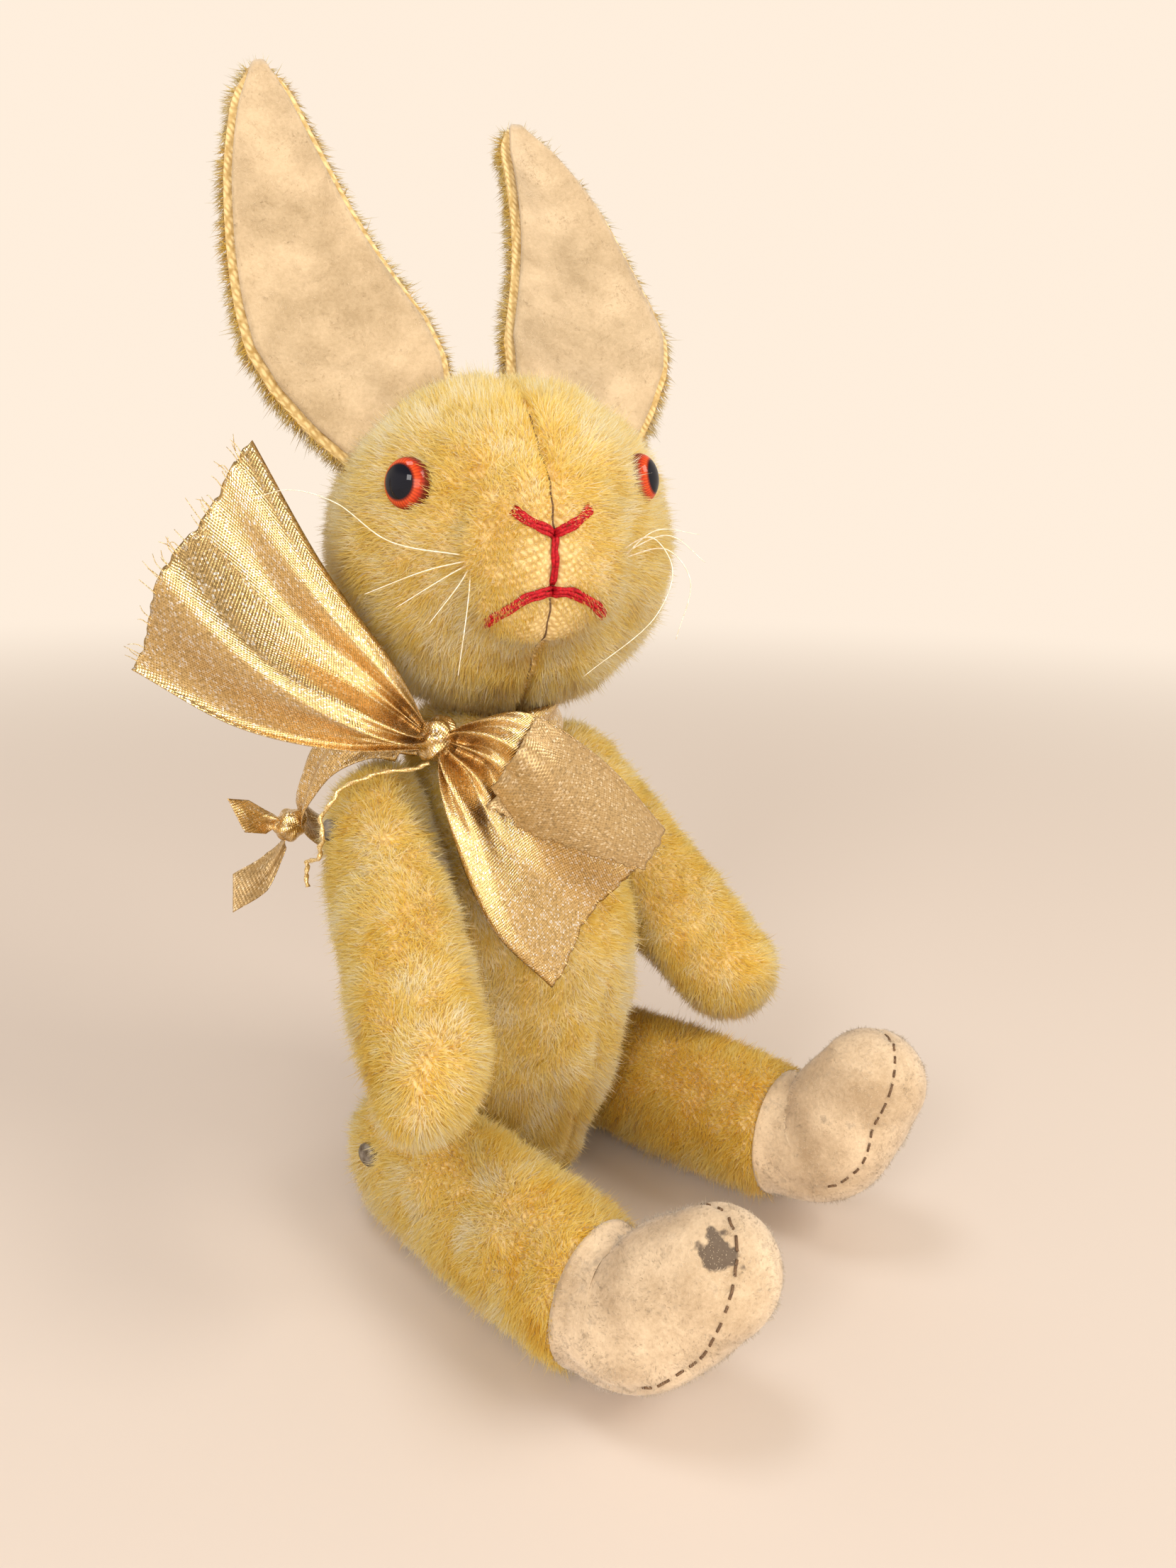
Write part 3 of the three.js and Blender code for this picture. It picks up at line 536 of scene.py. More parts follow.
def backing_material(name, dark, light, pitch):
    """The woven cloth under the pile: crossing threads, with fluff worked into them."""
    material, nodes, links, shader = new_material(name)
    where = nodes.new("ShaderNodeTexCoord")
    threads = []
    for turn in (0.62, -0.62):
        mapping, wave = nodes.new("ShaderNodeMapping"), nodes.new("ShaderNodeTexWave")
        mapping.inputs["Rotation"].default_value = (0.3, turn, turn)
        set_values(wave, {"Scale": 0.314 / (pitch * MM), "Distortion": 1.2, "Detail": 1.0})
        links.new(where.outputs["Object"], mapping.inputs["Vector"])
        links.new(mapping.outputs["Vector"], wave.inputs["Vector"])
        threads.append(wave.outputs["Fac"])
    crossing = maths(nodes, links, "MULTIPLY", *threads)
    height = maths(nodes, links, "MULTIPLY_ADD", crossing, 0.55, mottle(nodes, 900.0, 4.0, 0.6))
    links.new(ramp(nodes, links, height, [(0.35, dark), (0.85, light)]), shader.inputs["Base Color"])
    raise_surface(nodes, links, shader, height, 0.5, 0.15)
    set_values(shader, {"Roughness": 0.95, "Sheen Weight": 0.2})
    return material


MOHAIR_TONES = [
    (0.0, (0.46, 0.30, 0.10)),
    (0.22, (0.80, 0.42, 0.02)),
    (0.45, (0.90, 0.60, 0.08)),
    (0.65, (0.95, 0.71, 0.17)),
    (0.84, (0.97, 0.80, 0.32)),
    (1.0, (1.0, 0.93, 0.70)),
]
mohair = pile_material("mohair", MOHAIR_TONES, (0.76, 0.61, 0.38))
backing = backing_material("mohair_backing", (0.50, 0.31, 0.09), (0.90, 0.69, 0.33), pitch=0.75)

TORSO = [
    ((0, 0.6, 9.0), 11.9, 14.2),
    ((0, -1.4, 24.0), 15.2, 17.4),
    ((0, -2.2, 40.0), 15.8, 18.4),
    ((0, 1.2, 55.0), 13.8, 14.2),
    ((0, 5.3, 67.0), 8.8, 9.4),
]
TORSO_TOP = 72.8
torso_place = Matrix.Scale(MM, 4)
bm = loft(TORSO, 10.2, 6.8, torso_place)
for vert in bm.verts:
    x, y, z = vert.co / MM
    seam = math.exp(-((x / 0.9) ** 2)) * 0.55 * (1.0 if y < 0 else 0.8)
    swell = 0.5 * math.sin(x * 0.31 + z * 0.17) * math.sin(z * 0.23 + 1.0)
    if abs(x) + abs(y) > 1:
        vert.co += Vector((x, y, 0)).normalized() * (swell - seam) * MM
    vert.co.z = min(max(vert.co.z, 0.0), TORSO_TOP * MM)
wrap_skin(bm, torso_place, (0, 0, 0), (0, 3, 73))
torso = put("torso_plush", bm, "torso", [mohair, backing])


def torso_look(points, normals):
    tufts = np.stack([drift(points, 2.6, 11 + k) for k in range(3)], 1)
    swirl = np.stack([drift(points, 9.0, 21 + k) for k in range(3)], 1)
    lean = np.array([0.0, -0.1, -0.55]) + 0.55 * tufts + 0.35 * swirl
    length = 2.25 + 0.35 * drift(points, 5.0, 31)
    length = length * (1 - 0.55 * np.exp(-((points[:, 0] / 0.8) ** 2)))
    length = np.where(points[:, 2] < 0.4, 0.35, length)
    length = np.where(points[:, 2] > TORSO_TOP - 0.2, 0.0, length)
    # Painted shade: the pile's tone is lowered below 12 mm, low between the legs by the floor.
    tone = 0.70 + 0.15 * drift(points, 7.0, 41) + 0.20 * tufts[:, 0] - 0.08 * (points[:, 2] < 12)
    return length, lean, tone


grow_pile(torso, 18.0, torso_look, PLUSH_THICK, 1)
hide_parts("torso_shell", "torso_stuffing")

# ------------------------------------------------------------------ arms
# Two straight plush arms, closed and stuffed, each turning on the end of a wire rod through the shoulders. The
# pile lies down the arm; the paws are plain rounded ends.

ARM_HALF, ARM_DEEP, ARM_LONG = 6.6, 7.4, 40.5
SHOULDER = Vector((0, 4.1, 59.3))
ARM_MIDDLE = 13.2 + 0.6 + ARM_HALF
ARM_SHAPE = ((0, 0, 0, 0), (0.35, 0.2, 0.6, 0.3), (0.7, 0, 0.8, 0.1), (1, -0.6, 0.2, -0.4))


LIMB_PILE = 2.1


def limb_look(place, way, seed, tone_at, shorter):
    """Pile that lies along a limb's own way, with tufts, shorter in places."""
    turned = np.array((place.to_3x3() @ Vector(way)).normalized())
    back = np.array(place.inverted())

    def look(points, normals):
        tufts = np.stack([drift(points, 2.4, seed + k) for k in range(3)], 1)
        swirl = np.stack([drift(points, 8.0, seed + 10 + k) for k in range(3)], 1)
        own = points * MM @ back[:3, :3].T + back[:3, 3]
        lean = turned * 0.5 + 0.6 * tufts + 0.35 * swirl
        length = (LIMB_PILE + 0.3 * drift(points, 4.0, seed + 20)) * shorter(own)
        return length, lean, tone_at(own, points) + 0.20 * tufts[:, 1]

    return look


def hung_at(joint, lift):
    """The place of a limb's own millimetres, lifted forwards round its joint by lift degrees."""
    return Matrix.Translation(joint * MM) @ Matrix.Rotation(-math.radians(lift), 4, "X") @ Matrix.Scale(MM, 4)


ARM_POSES = {"right": (-1, 56, 26), "left": (1, 46, 6)}
for side_name, (side, lift, splay) in ARM_POSES.items():
    place = hung_at(SHOULDER, lift)
    out, down = math.sin(math.radians(splay)), math.cos(math.radians(splay))
    arm_stations = []
    for share, forward, wide, deep in ARM_SHAPE:
        middle = (side * (ARM_MIDDLE + share * ARM_LONG * out), forward, -share * ARM_LONG * down)
        arm_stations.append((middle, ARM_HALF + wide, ARM_DEEP + deep))
    bm = loft(arm_stations, ARM_DEEP, ARM_DEEP - 0.5, place, around=40, cap_rows=8, mid_rows=24)
    wrap_skin(bm, place, (side * ARM_MIDDLE, 0, 7), (side * (ARM_MIDDLE + ARM_LONG * out), 0, -47))
    arm = put(f"{side_name}_arm_plush", bm, f"{side_name}_arm", [mohair, backing])
    pin = np.array((side * (ARM_MIDDLE + ARM_HALF), 0, 0))

    def arm_tone(own, points, seed=50 + side):
        paw = np.clip((-own[:, 2] - 26) / 14, 0, 1)
        return 0.68 + 0.13 * drift(points, 6.0, seed) + 0.12 * paw * drift(points, 3.0, seed + 3)

    def by_the_pin(own, pin=pin):
        return 1 - 0.75 * near(own, pin, (2.0, 1.5, 1.5))

    look = limb_look(place, (side * out, 0, -down), 60 + side, arm_tone, by_the_pin)
    grow_pile(arm, 20.0, look, PLUSH_THICK, 2 + side)
    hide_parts(f"{side_name}_arm_shell", f"{side_name}_arm_stuffing")

# ------------------------------------------------------------------ legs and felt feet
# Two stout plush legs, jointed at the hips like the arms. Each ends in a foot of grey-cream felt,
# sewn on round the ankle and closed by hand with brown thread up the middle of the sole.

HIP = Vector((0, -0.6, 12.8))
LEG_HALF, LEG_DEEP, LEG_LONG = 6.5, 9.6, 39.5
FOOT_HALF, FOOT_DEEP, FOOT_LONG = 8.2, 8.4, 12.5
LEG_MIDDLE = 12.9 + 0.6 + LEG_HALF
LEG_DROP = HIP.z - LEG_DEEP - 0.3
ANKLE = LEG_LONG + 0.6
FLOOR_GAP = 0.15
STITCH_LONG, STITCH_GAP = 1.25, 0.75


STAIN_REACH = 5.4 * MM


def felt_material(name, dark, light, grime=None, stain_at=None):
    """Pressed wool felt: matted fibres, soft mottling and, where it is worn, grime and a dark mark."""
    material, nodes, links, shader = new_material(name)
    broad, fine = mottle(nodes, 130.0, 3.0, 0.55), mottle(nodes, 1900.0, 5.0, 0.68)
    matted = maths(nodes, links, "MULTIPLY_ADD", fine, 0.45, broad)
    colour = ramp(nodes, links, matted, [(0.52, dark), (0.92, light)])
    if grime:
        dirty = [(0.60, (0, 0, 0)), (0.78, (1, 1, 1))]
        dirty = ramp(nodes, links, mottle(nodes, 260.0, 5.0, 0.7), dirty)
        colour = mix_colours(nodes, links, dirty, colour, (*grime, 1.0))
    if stain_at:
        spot, away = nodes.new("ShaderNodeTexCoord"), nodes.new("ShaderNodeVectorMath")
        away.operation = "DISTANCE"
        away.inputs[1].default_value = stain_at
        links.new(spot.outputs["Object"], away.inputs[0])
        blots = mottle(nodes, 620.0, 2.0, 0.5)
        edge = maths(nodes, links, "MULTIPLY_ADD", away.outputs["Value"], -1.0 / STAIN_REACH, blots)
        marked = ramp(nodes, links, edge, [(0.0, (0, 0, 0)), (0.12, (0.85, 0.85, 0.85))])
        colour = mix_colours(nodes, links, marked, colour, (0.07, 0.05, 0.04, 1.0))
    links.new(colour, shader.inputs["Base Color"])
    raise_surface(nodes, links, shader, matted, 0.8, 0.25)
    set_values(
        shader, {"Roughness": 0.95, "Specular IOR Level": 0.2, "Sheen Weight": 0.35, "Sheen Roughness": 0.5}
    )
    return material


foot_felt = felt_material(
    "foot_felt", (0.46, 0.33, 0.20), (0.80, 0.63, 0.43), (0.36, 0.28, 0.20), (-0.0264, -0.0585, 0.0252)
)
FELT_NAP = [(0.0, (0.46, 0.34, 0.22)), (0.5, (0.72, 0.57, 0.39)), (1.0, (0.90, 0.78, 0.60))]
foot_nap = pile_material("foot_nap", FELT_NAP, (0.82, 0.78, 0.74), 0.3)
sole_thread = mottled_material(
    "sole_thread", [(0.35, (0.10, 0.055, 0.03)), (0.7, (0.24, 0.14, 0.07))], {"Roughness": 0.8}, scale=4000.0
)


def seam_slant(rise, side):
    """How far sideways the sole's seam runs, for the share of the way up its sole, -1 to 1."""
    middle = -0.5 if side < 0 else -0.85
    return middle + (0.38 - middle) * max(rise, 0.0) ** 2 + (-0.9 - middle) * max(-rise, 0.0)


LEG_POSES = {"right": (-1, 0, 7.5, 46, 4.0), "left": (1, 3.5, -2.5, 31, 2.0)}
for side_name, (side, lift, splay, toe, turn) in LEG_POSES.items():
    place = hung_at(HIP, lift)
    out, ahead = math.sin(math.radians(splay)), math.cos(math.radians(splay))

    def leg_at(distance, drop, inward=0.0, side=side, out=out, ahead=ahead):
        return (side * (LEG_MIDDLE + distance * out) + inward, -distance * ahead, drop)

    def foot_at(distance, toe=math.radians(toe), turn=turn, leg_at=leg_at):
        return leg_at(
            LEG_LONG + 7.4 + distance * math.sin(toe),
            0.4 - LEG_DROP + distance * math.cos(toe),
            turn * distance / FOOT_LONG,
        )

    leg_stations = [
        (leg_at(0, -LEG_DROP), LEG_HALF, LEG_DEEP),
        (leg_at(0.4 * LEG_LONG, 0.2 - LEG_DROP), LEG_HALF + 1.3, LEG_DEEP + 0.2),
        (leg_at(0.75 * LEG_LONG, -LEG_DROP), LEG_HALF + 1.6, LEG_DEEP),
        (leg_at(LEG_LONG, -0.2 - LEG_DROP), FOOT_HALF, LEG_DEEP - 0.6),
        (foot_at(0.6), FOOT_HALF, FOOT_DEEP),
        (foot_at(0.55 * FOOT_LONG), FOOT_HALF + 0.2, FOOT_DEEP),
        (foot_at(FOOT_LONG), FOOT_HALF - 0.8, FOOT_DEEP - 0.9),
    ]
    domes = (LEG_DEEP - 0.6, FOOT_DEEP - 1.4)
    ankle_at = place @ Vector((0, -ANKLE, 0))
    ankle_way = (place.to_3x3() @ Vector((0, -1, 0))).normalized()
    foot_middle = Vector(foot_at(0.5 * FOOT_LONG))
    for part in ("leg", "foot"):
        bm = loft(leg_stations, *domes, place, around=48, cap_rows=9, mid_rows=54)
        cut = bmesh.ops.bisect_plane(
            bm,
            geom=[*bm.verts, *bm.edges, *bm.faces],
            plane_co=ankle_at,
            plane_no=ankle_way,
            clear_outer=part == "leg",
            clear_inner=part == "foot",
        )
        rim = [edge for edge in bm.edges if edge.is_boundary]
        bmesh.ops.holes_fill(bm, edges=rim, sides=0)
        bmesh.ops.triangulate(bm, faces=[face for face in bm.faces if len(face.verts) > 4])
        face_out(bm)
        back = place.inverted()
        for vert in bm.verts:
            own = back @ vert.co
            if part == "leg":
                vert.co.z = max(vert.co.z, FLOOR_GAP * MM)
                pull = math.exp(-(((own.y + ANKLE) / 1.2) ** 2)) * 0.5
            else:
                spot = own - foot_middle
                slant = seam_slant(spot.z / max(spot.yz.length, 1e-6), side)
                off = spot.x - slant * spot.yz.length
                pull = 0.5 * math.exp(-((off / 0.55) ** 2)) * (own.y < -ANKLE - 2)
                pull -= 0.35 * math.exp(-(((own.y + ANKLE) / 1.0) ** 2))
            inward = Vector((foot_middle.x - own.x, 0, -LEG_DROP + 3 - own.z)).normalized()
            vert.co += place.to_3x3() @ (inward * pull)
            vert.co.z = max(vert.co.z, FLOOR_GAP * MM)
        if part == "leg":
            middle = side * LEG_MIDDLE
            wrap_skin(bm, place, (middle, 10, -LEG_DROP), (middle, -ANKLE, -LEG_DROP))
            piece = put(f"{side_name}_leg_plush", bm, f"{side_name}_leg", [mohair, backing])

            def leg_tone(own, points, seed=80 + side, side=side):
                base = (0.60 if side < 0 else 0.50) + 0.16 * drift(points, 6.5, seed)
                if side < 0:
                    far = np.clip((-own[:, 1] - 18) / 20, 0, 1)
                    return base + 0.10 - 0.12 * far + 0.22 * far * drift(points, 2.2, seed + 5)
                # Painted shadow: a darker patch on top of the left thigh, under the raised left paw, where the
                # paw's shadow falls.
                paw_shadow = near(own, (20, -16, 0), (12, 10, 9))
                return base - 0.20 * paw_shadow - 0.06

            def by_the_ends(own, side=side):
                pin = np.array((side * (LEG_MIDDLE + LEG_HALF), 0, 0))
                ankle = np.clip((own[:, 1] + ANKLE) / 0.8, 0, 1)
                under = np.where(own[:, 2] < -LEG_DROP - LEG_DEEP + 1.0, 0.55, 1.0)
                return (1 - 0.75 * near(own, pin, (2.0, 1.5, 1.5))) * ankle * under

            look = limb_look(place, (side * out, -ahead, -0.35), 90 + side, leg_tone, by_the_ends)
            grow_pile(piece, 19.0, look, PLUSH_THICK, 6 + side)
            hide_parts(f"{side_name}_leg_shell", f"{side_name}_leg_stuffing")
            continue
        wrap_skin(bm, place, tuple(foot_at(0) - np.array((0, 0, 10))), tuple(foot_at(FOOT_LONG + 9)))
        foot_tree = BVHTree.FromBMesh(bm)
        piece = put(f"{side_name}_foot", bm, f"{side_name}_leg", [foot_nap, foot_felt])

        def nap_look(points, normals, seed=110 + side):
            ways = np.stack([drift(points, 1.4, seed + k) for k in range(3)], 1)
            length = 0.62 + 0.25 * drift(points, 2.0, seed + 4)
            return length, 1.6 * ways, 0.5 + 0.3 * drift(points, 4.0, seed + 5)

        grow_pile(piece, 7.0, nap_look, 0.05, 10 + side, soften=0.9)
        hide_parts(f"{side_name}_foot_felt")

        bm = bmesh.new()
        middle = place @ foot_middle
        spots = []
        for k in range(61):
            angle = math.radians(-82 + 176 * k / 60)
            slant = seam_slant(math.sin(angle), side)
            way = (place.to_3x3() @ Vector((slant, -math.cos(angle), math.sin(angle)))).normalized()
            hit, normal, _, _ = foot_tree.ray_cast(middle, way)
            if hit is not None:
                spots.append(hit + way * 0.12 * MM)
        run = 0.0
        stitch = []
        for a, b in zip(spots, spots[1:]):
            run += (b - a).length / MM
            stitch.append(a)
            if run > STITCH_LONG:
                if len(stitch) > 1:
                    run_tube(bm, stitch, lambda share: 0.17 * MM, sides=6)
                stitch = []
                run = -STITCH_GAP
            elif run < 0:
                stitch = []
        put(f"{side_name}_sole_stitches", bm, f"{side_name}_leg", [sole_thread])

# ------------------------------------------------------------------ head
# A round plush head, packed hard, seamed down the middle of the face. The pile is clipped short on
# the muzzle, so that its weave shows round the nose and mouth, and is brushed outwards from there.

HEAD_PLACE = (
    Matrix.Translation(Vector((1.4, 0.8, 95.6)) * MM)
    @ Matrix.Rotation(math.radians(-30.5), 4, "Z")
    @ Matrix.Rotation(math.radians(-13), 4, "X")
    @ Matrix.Rotation(math.radians(-2.3), 4, "Y")
    @ Matrix.Scale(MM, 4)
)
HEAD = [
    ((0, 13.0, 0), 18.4, 18.0),
    ((0, 4.0, 0), 22.8, 22.2),
    ((0, -6.0, -0.6), 22.4, 21.2),
    ((0, -13.5, -2.0), 17.6, 17.4),
    ((0, -19.0, -4.0), 10.8, 11.8),
]
EYE_AT = (15.6, -15.9, 5.8)
HEAD_LOW = 73.35
HEAD_BACK = HEAD_PLACE.inverted()
bm = loft(HEAD, 8.4, 4.6, HEAD_PLACE, around=88, cap_rows=16, mid_rows=44)
for vert in bm.verts:
    own = HEAD_BACK @ vert.co
    outward = Vector((own.x, own.y, own.z)).normalized()
    front = 1.0 if own.y < 2 else math.exp(-(((own.y - 2) / 9) ** 2))
    seam = 0.8 * math.exp(-((own.x / 0.7) ** 2)) * front
    muzzle = 0.5 * math.exp(-((own.x / 8.5) ** 2 + ((own.z + 6.5) / 6.0) ** 2)) * (own.y < -10)
    sockets = sum(
        math.exp(-((own - Vector((s * EYE_AT[0], EYE_AT[1], EYE_AT[2]))).length / 4.6) ** 2) for s in (-1, 1)
    )
    mouth = 0.2 * math.exp(-(((own.z + 9.6 + 0.05 * own.x * own.x) / 1.3) ** 2))
    mouth *= (abs(own.x) < 9) * (own.y < -12)
    lump = 0.35 * math.sin(own.x * 0.37 + 1.1) * math.sin(own.z * 0.33 + own.y * 0.2)
    vert.co += HEAD_PLACE.to_3x3() @ (outward * (muzzle + lump - seam - 0.25 * sockets - mouth))
    vert.co.z = max(vert.co.z, HEAD_LOW * MM)
wrap_skin(bm, HEAD_PLACE, (0, 22, 0), (0, -24, -4))
head_tree = BVHTree.FromBMesh(bm)
head = put("head_plush", bm, "head", [mohair, backing])


def head_look(points, normals):
    own = points * MM @ np.array(HEAD_BACK)[:3, :3].T + np.array(HEAD_BACK)[:3, 3]
    turn = np.array(HEAD_PLACE.to_3x3()) / MM
    away = unit((own - (0, -21, -4)) * (1, 0.5, 1)) @ turn.T
    tufts = np.stack([drift(points, 2.3, 131 + k) for k in range(3)], 1)
    swirl = np.stack([drift(points, 8.0, 141 + k) for k in range(3)], 1)
    lean = away * 0.4 + np.array([0, 0, -0.25]) + 0.55 * tufts + 0.35 * swirl
    clipped = near(own, (0, -22, -6.0), (7.5, 9.0, 6.2))
    clipped = np.maximum(clipped, near(own, (0, -19, -13), (7.0, 8.0, 5.0)))
    length = 2.2 + 0.3 * drift(points, 4.0, 151)
    length = length * (1 - 0.86 * clipped)
    seam = np.exp(-((own[:, 0] / 0.8) ** 2)) * (own[:, 1] < 4)
    length = length * (1 - 0.78 * seam)
    for s in (-1, 1):
        off = np.linalg.norm(own - (s * EYE_AT[0], EYE_AT[1], EYE_AT[2]), axis=1)
        length = length * np.clip((off - 2.7) / 0.6, 0, 1)
    length = np.where(points[:, 2] < HEAD_LOW + 0.3, 0.0, length)
    tone = 0.74 + 0.12 * drift(points, 8.0, 161) + 0.18 * tufts[:, 2] - 0.06 * clipped
    # Painted shade: the pile is darker along the face seam and in a narrow strip of it over the upper
    # forehead, where the pile parts.
    tone = tone - 0.10 * near(own, (0, -14, 12), (3, 8, 6)) - 0.40 * seam
    return length, lean, tone


grow_pile(head, 20.0, head_look, 0.066, 20)
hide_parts("head_shell", "head_stuffing")

# ------------------------------------------------------------------ ears
# Each ear is two layers: a mohair back whose pile shows as a fringe round the edge, and a cream felt
# lining, cupped towards the front and pinched at the root where it is sewn into the head.

EAR_LONG, EAR_HALF, EAR_CUP, EAR_BOW = 54.5, 11.6, 2.6, 3.4
EAR_SHARES = (0.8, 0.97, 1.0, 0.9, 0.78, 0.66, 0.55, 0.43, 0.3, 0.09)
EAR_TIPS = {-1: (-25.1, 11.0), 1: (14.9, 19.7)}

ear_felt = felt_material("ear_felt", (0.41, 0.30, 0.17), (0.64, 0.49, 0.31))
EAR_NAP = [(0.0, (0.38, 0.27, 0.15)), (0.5, (0.60, 0.45, 0.27)), (1.0, (0.80, 0.66, 0.46))]
ear_nap = pile_material("ear_nap", EAR_NAP, (0.90, 0.87, 0.82), 0.3)


def ear_frame(side):
    root = Vector((side * 14.9, 0.1, 18.2))
    tip_x, tip_y = EAR_TIPS[side]
    lean_x, lean_y = tip_x - root.x, tip_y - root.y
    up = Vector((lean_x, lean_y, math.sqrt(EAR_LONG**2 - lean_x**2 - lean_y**2))).normalized()
    front = (Vector((0, -1, 0)) + up * up.y).normalized()
    return root, up, front, up.cross(front).normalized()


def ear_point(side, across, along, depth, wider=0.0):
    root, up, front, sideways = ear_frame(side)
    step = min(max(along * 9, 0.0), 8.999)
    k = int(step)
    w = step - k
    sewn = max(-along, 0.0)
    share = EAR_SHARES[k] * (1 - w) + EAR_SHARES[k + 1] * w - 1.7 * sewn
    half = EAR_HALF * share + wider * min(1.0, (1.02 - along) * 12)
    off = 2 * across - 1
    wave = 0.5 * math.sin(along * 9 + side) * off * off * side
    pinch = 1.6 * max(0.0, 0.16 - max(along, 0.0)) / 0.16 * (1 - 2 * abs(off))
    return (
        root
        + up * (along * EAR_LONG + 0.4 * wider * along)
        + sideways * (off * half + side * (EAR_BOW * math.sin(math.pi * max(along, 0.0)) - 16 * sewn))
        + front * (depth + EAR_CUP * off * off * (half / EAR_HALF) + wave + pinch)
    )


def ear_layer(side, depth, thick, wider=0.0, edge=0.0):
    """One layer of an ear, as a closed plate with rounded edges."""
    bm = bmesh.new()
    bmesh.ops.create_cube(bm, size=1.0)
    across = [edge for edge in bm.edges if abs(edge.verts[0].co.x - edge.verts[1].co.x) > 0.5]
    bmesh.ops.subdivide_edges(bm, edges=across, cuts=19)
    along = [edge for edge in bm.edges if abs(edge.verts[0].co.z - edge.verts[1].co.z) > 0.5]
    bmesh.ops.subdivide_edges(bm, edges=along, cuts=55, use_grid_fill=True)
    for vert in bm.verts:
        across, along = vert.co.x + 0.5, 1.15 * (vert.co.z + 0.5) - 0.15
        reach = vert.co.y * thick * (1.0 - edge * (abs(vert.co.x) * 2) ** 6)
        vert.co = HEAD_PLACE @ ear_point(side, across, along, depth - reach, wider)
    face_out(bm)
    return bm


def lay_out_ear(bm, side):
    """Puts an ear layer's front, back and edges in three strips of the map's right half."""
    root, up, front, sideways = ear_frame(side)
    layer = bm.loops.layers.uv.new("OFBake")
    for face in bm.faces:
        normal = (HEAD_BACK.to_3x3() @ face.normal).normalized()
        facing = normal.dot(front)
        for loop in face.loops:
            own = HEAD_BACK @ loop.vert.co - root
            v = own.dot(up) / 60 + own.dot(front) * 0.002
            if abs(facing) > 0.2:
                u = 0.5 + (own.dot(sideways) - 1.5 * side) / 34
                bank, wide = (0.54 if facing > 0 else 0.70), 0.14
            else:
                u = 0.5 + own.dot(front) / 14
                bank, wide = 0.86, 0.11
            loop[layer].uv = (bank + wide * min(max(u, 0.0), 1.0), 0.03 + 0.9 * min(max(v, 0.0), 1.0))


for side_name, side in (("right", -1), ("left", 1)):
    _, ear_up, ear_front, _ = ear_frame(side)
    world_front = np.array((HEAD_PLACE.to_3x3() @ ear_front).normalized())
    world_up = np.array((HEAD_PLACE.to_3x3() @ ear_up).normalized())

    bm = ear_layer(side, -1.25, 2.2, wider=1.1, edge=0.35)
    lay_out_ear(bm, side)
    ear_back = put(f"{side_name}_ear_plush", bm, "head", [mohair, backing])

    def ear_back_look(points, normals, seed=170 + side, side=side):
        tufts = np.stack([drift(points, 2.2, seed + k) for k in range(3)], 1)
        facing = normals @ world_front
        lean = -0.3 * world_up + 0.45 * tufts + 0.25 * np.array([0, 0, -1.0])
        length = 1.9 + 0.3 * drift(points, 3.0, seed + 5)
        length = np.where(facing > 0.35, 0.0, length)
        tone = 0.66 + 0.15 * drift(points, 5.0, seed + 6) + 0.12 * tufts[:, 0]
        return length, lean, tone

    grow_pile(ear_back, 18.0, ear_back_look, 0.08, 24 + side)
    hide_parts(f"{side_name}_ear_back")

    bm = ear_layer(side, 0.7, 1.1, edge=0.5)
    lay_out_ear(bm, side)
    lining = put(f"{side_name}_ear_felt", bm, "head", [ear_nap, ear_felt])

    def ear_nap_look(points, normals, seed=190 + side):
        ways = np.stack([drift(points, 1.3, seed + k) for k in range(3)], 1)
        length = 0.5 + 0.2 * drift(points, 2.0, seed + 4)
        length = np.where(normals @ world_front < -0.4, 0.0, length)
        return length, 1.8 * ways, 0.55 + 0.3 * drift(points, 4.0, seed + 5)

    grow_pile(lining, 7.0, ear_nap_look, 0.045, 28 + side, soften=0.9)
    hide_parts(f"{side_name}_ear_lining")

# ------------------------------------------------------------------ glass eyes
# Flattened domes of clear glass over a painted iris: a glossy blue-black pupil in a narrow ring of
# orange-red, on a dark ground. Each sits in a small hollow of the face on its wire.

eye_glass, nodes, links, shader = new_material("eye_glass")
eye_map, _, from_front = map_axes(nodes, links)
IRIS = [
    (0.0, (0.004, 0.006, 0.016)),
    (0.225, (0.004, 0.005, 0.012)),
    (0.245, (0.22, 0.020, 0.010)),
    (0.275, (0.74, 0.085, 0.02)),
    (0.33, (0.66, 0.060, 0.015)),
    (0.36, (0.50, 0.04, 0.015)),
    (0.42, (0.20, 0.03, 0.02)),
]
iris = ramp(nodes, links, from_front, IRIS)
streaks = nodes.new("ShaderNodeTexWave")
set_values(streaks, {"Scale": 14.0, "Distortion": 2.0})
links.new(eye_map, streaks.inputs["Vector"])
painted = mix_colours(nodes, links, 0.35, iris, streaks.outputs["Color"], "MULTIPLY")
links.new(painted, shader.inputs["Base Color"])
set_values(shader, {"Roughness": 0.08, "Specular IOR Level": 0.0})
set_values(shader, {"Coat Weight": 0.5, "Coat Roughness": 0.02, "Coat IOR": 1.55})


def ball(around, rows, maps):
    """A unit ball with maps: each gives (u, v) from the share round it and the share from top to bottom."""
    bm = bmesh.new()
    bmesh.ops.create_uvsphere(bm, u_segments=around, v_segments=rows, radius=1.0)
    layers = [(bm.loops.layers.uv.new(name), lay) for name, lay in maps.items()]
    for face in bm.faces:
        middle = face.calc_center_median()
        centre = math.atan2(middle.y, middle.x) / (2 * math.pi) + 0.5
        for loop in face.loops:
            co = loop.vert.co
            u = math.atan2(co.y, co.x) / (2 * math.pi) + 0.5
            if abs(co.z) > 0.9999:
                u = centre
            u += (centre - u > 0.5) - (u - centre > 0.5)
            polar = math.acos(max(-1.0, min(1.0, co.z))) / math.pi
            for layer, lay in layers:
                loop[layer].uv = lay(u, polar)
    return bm


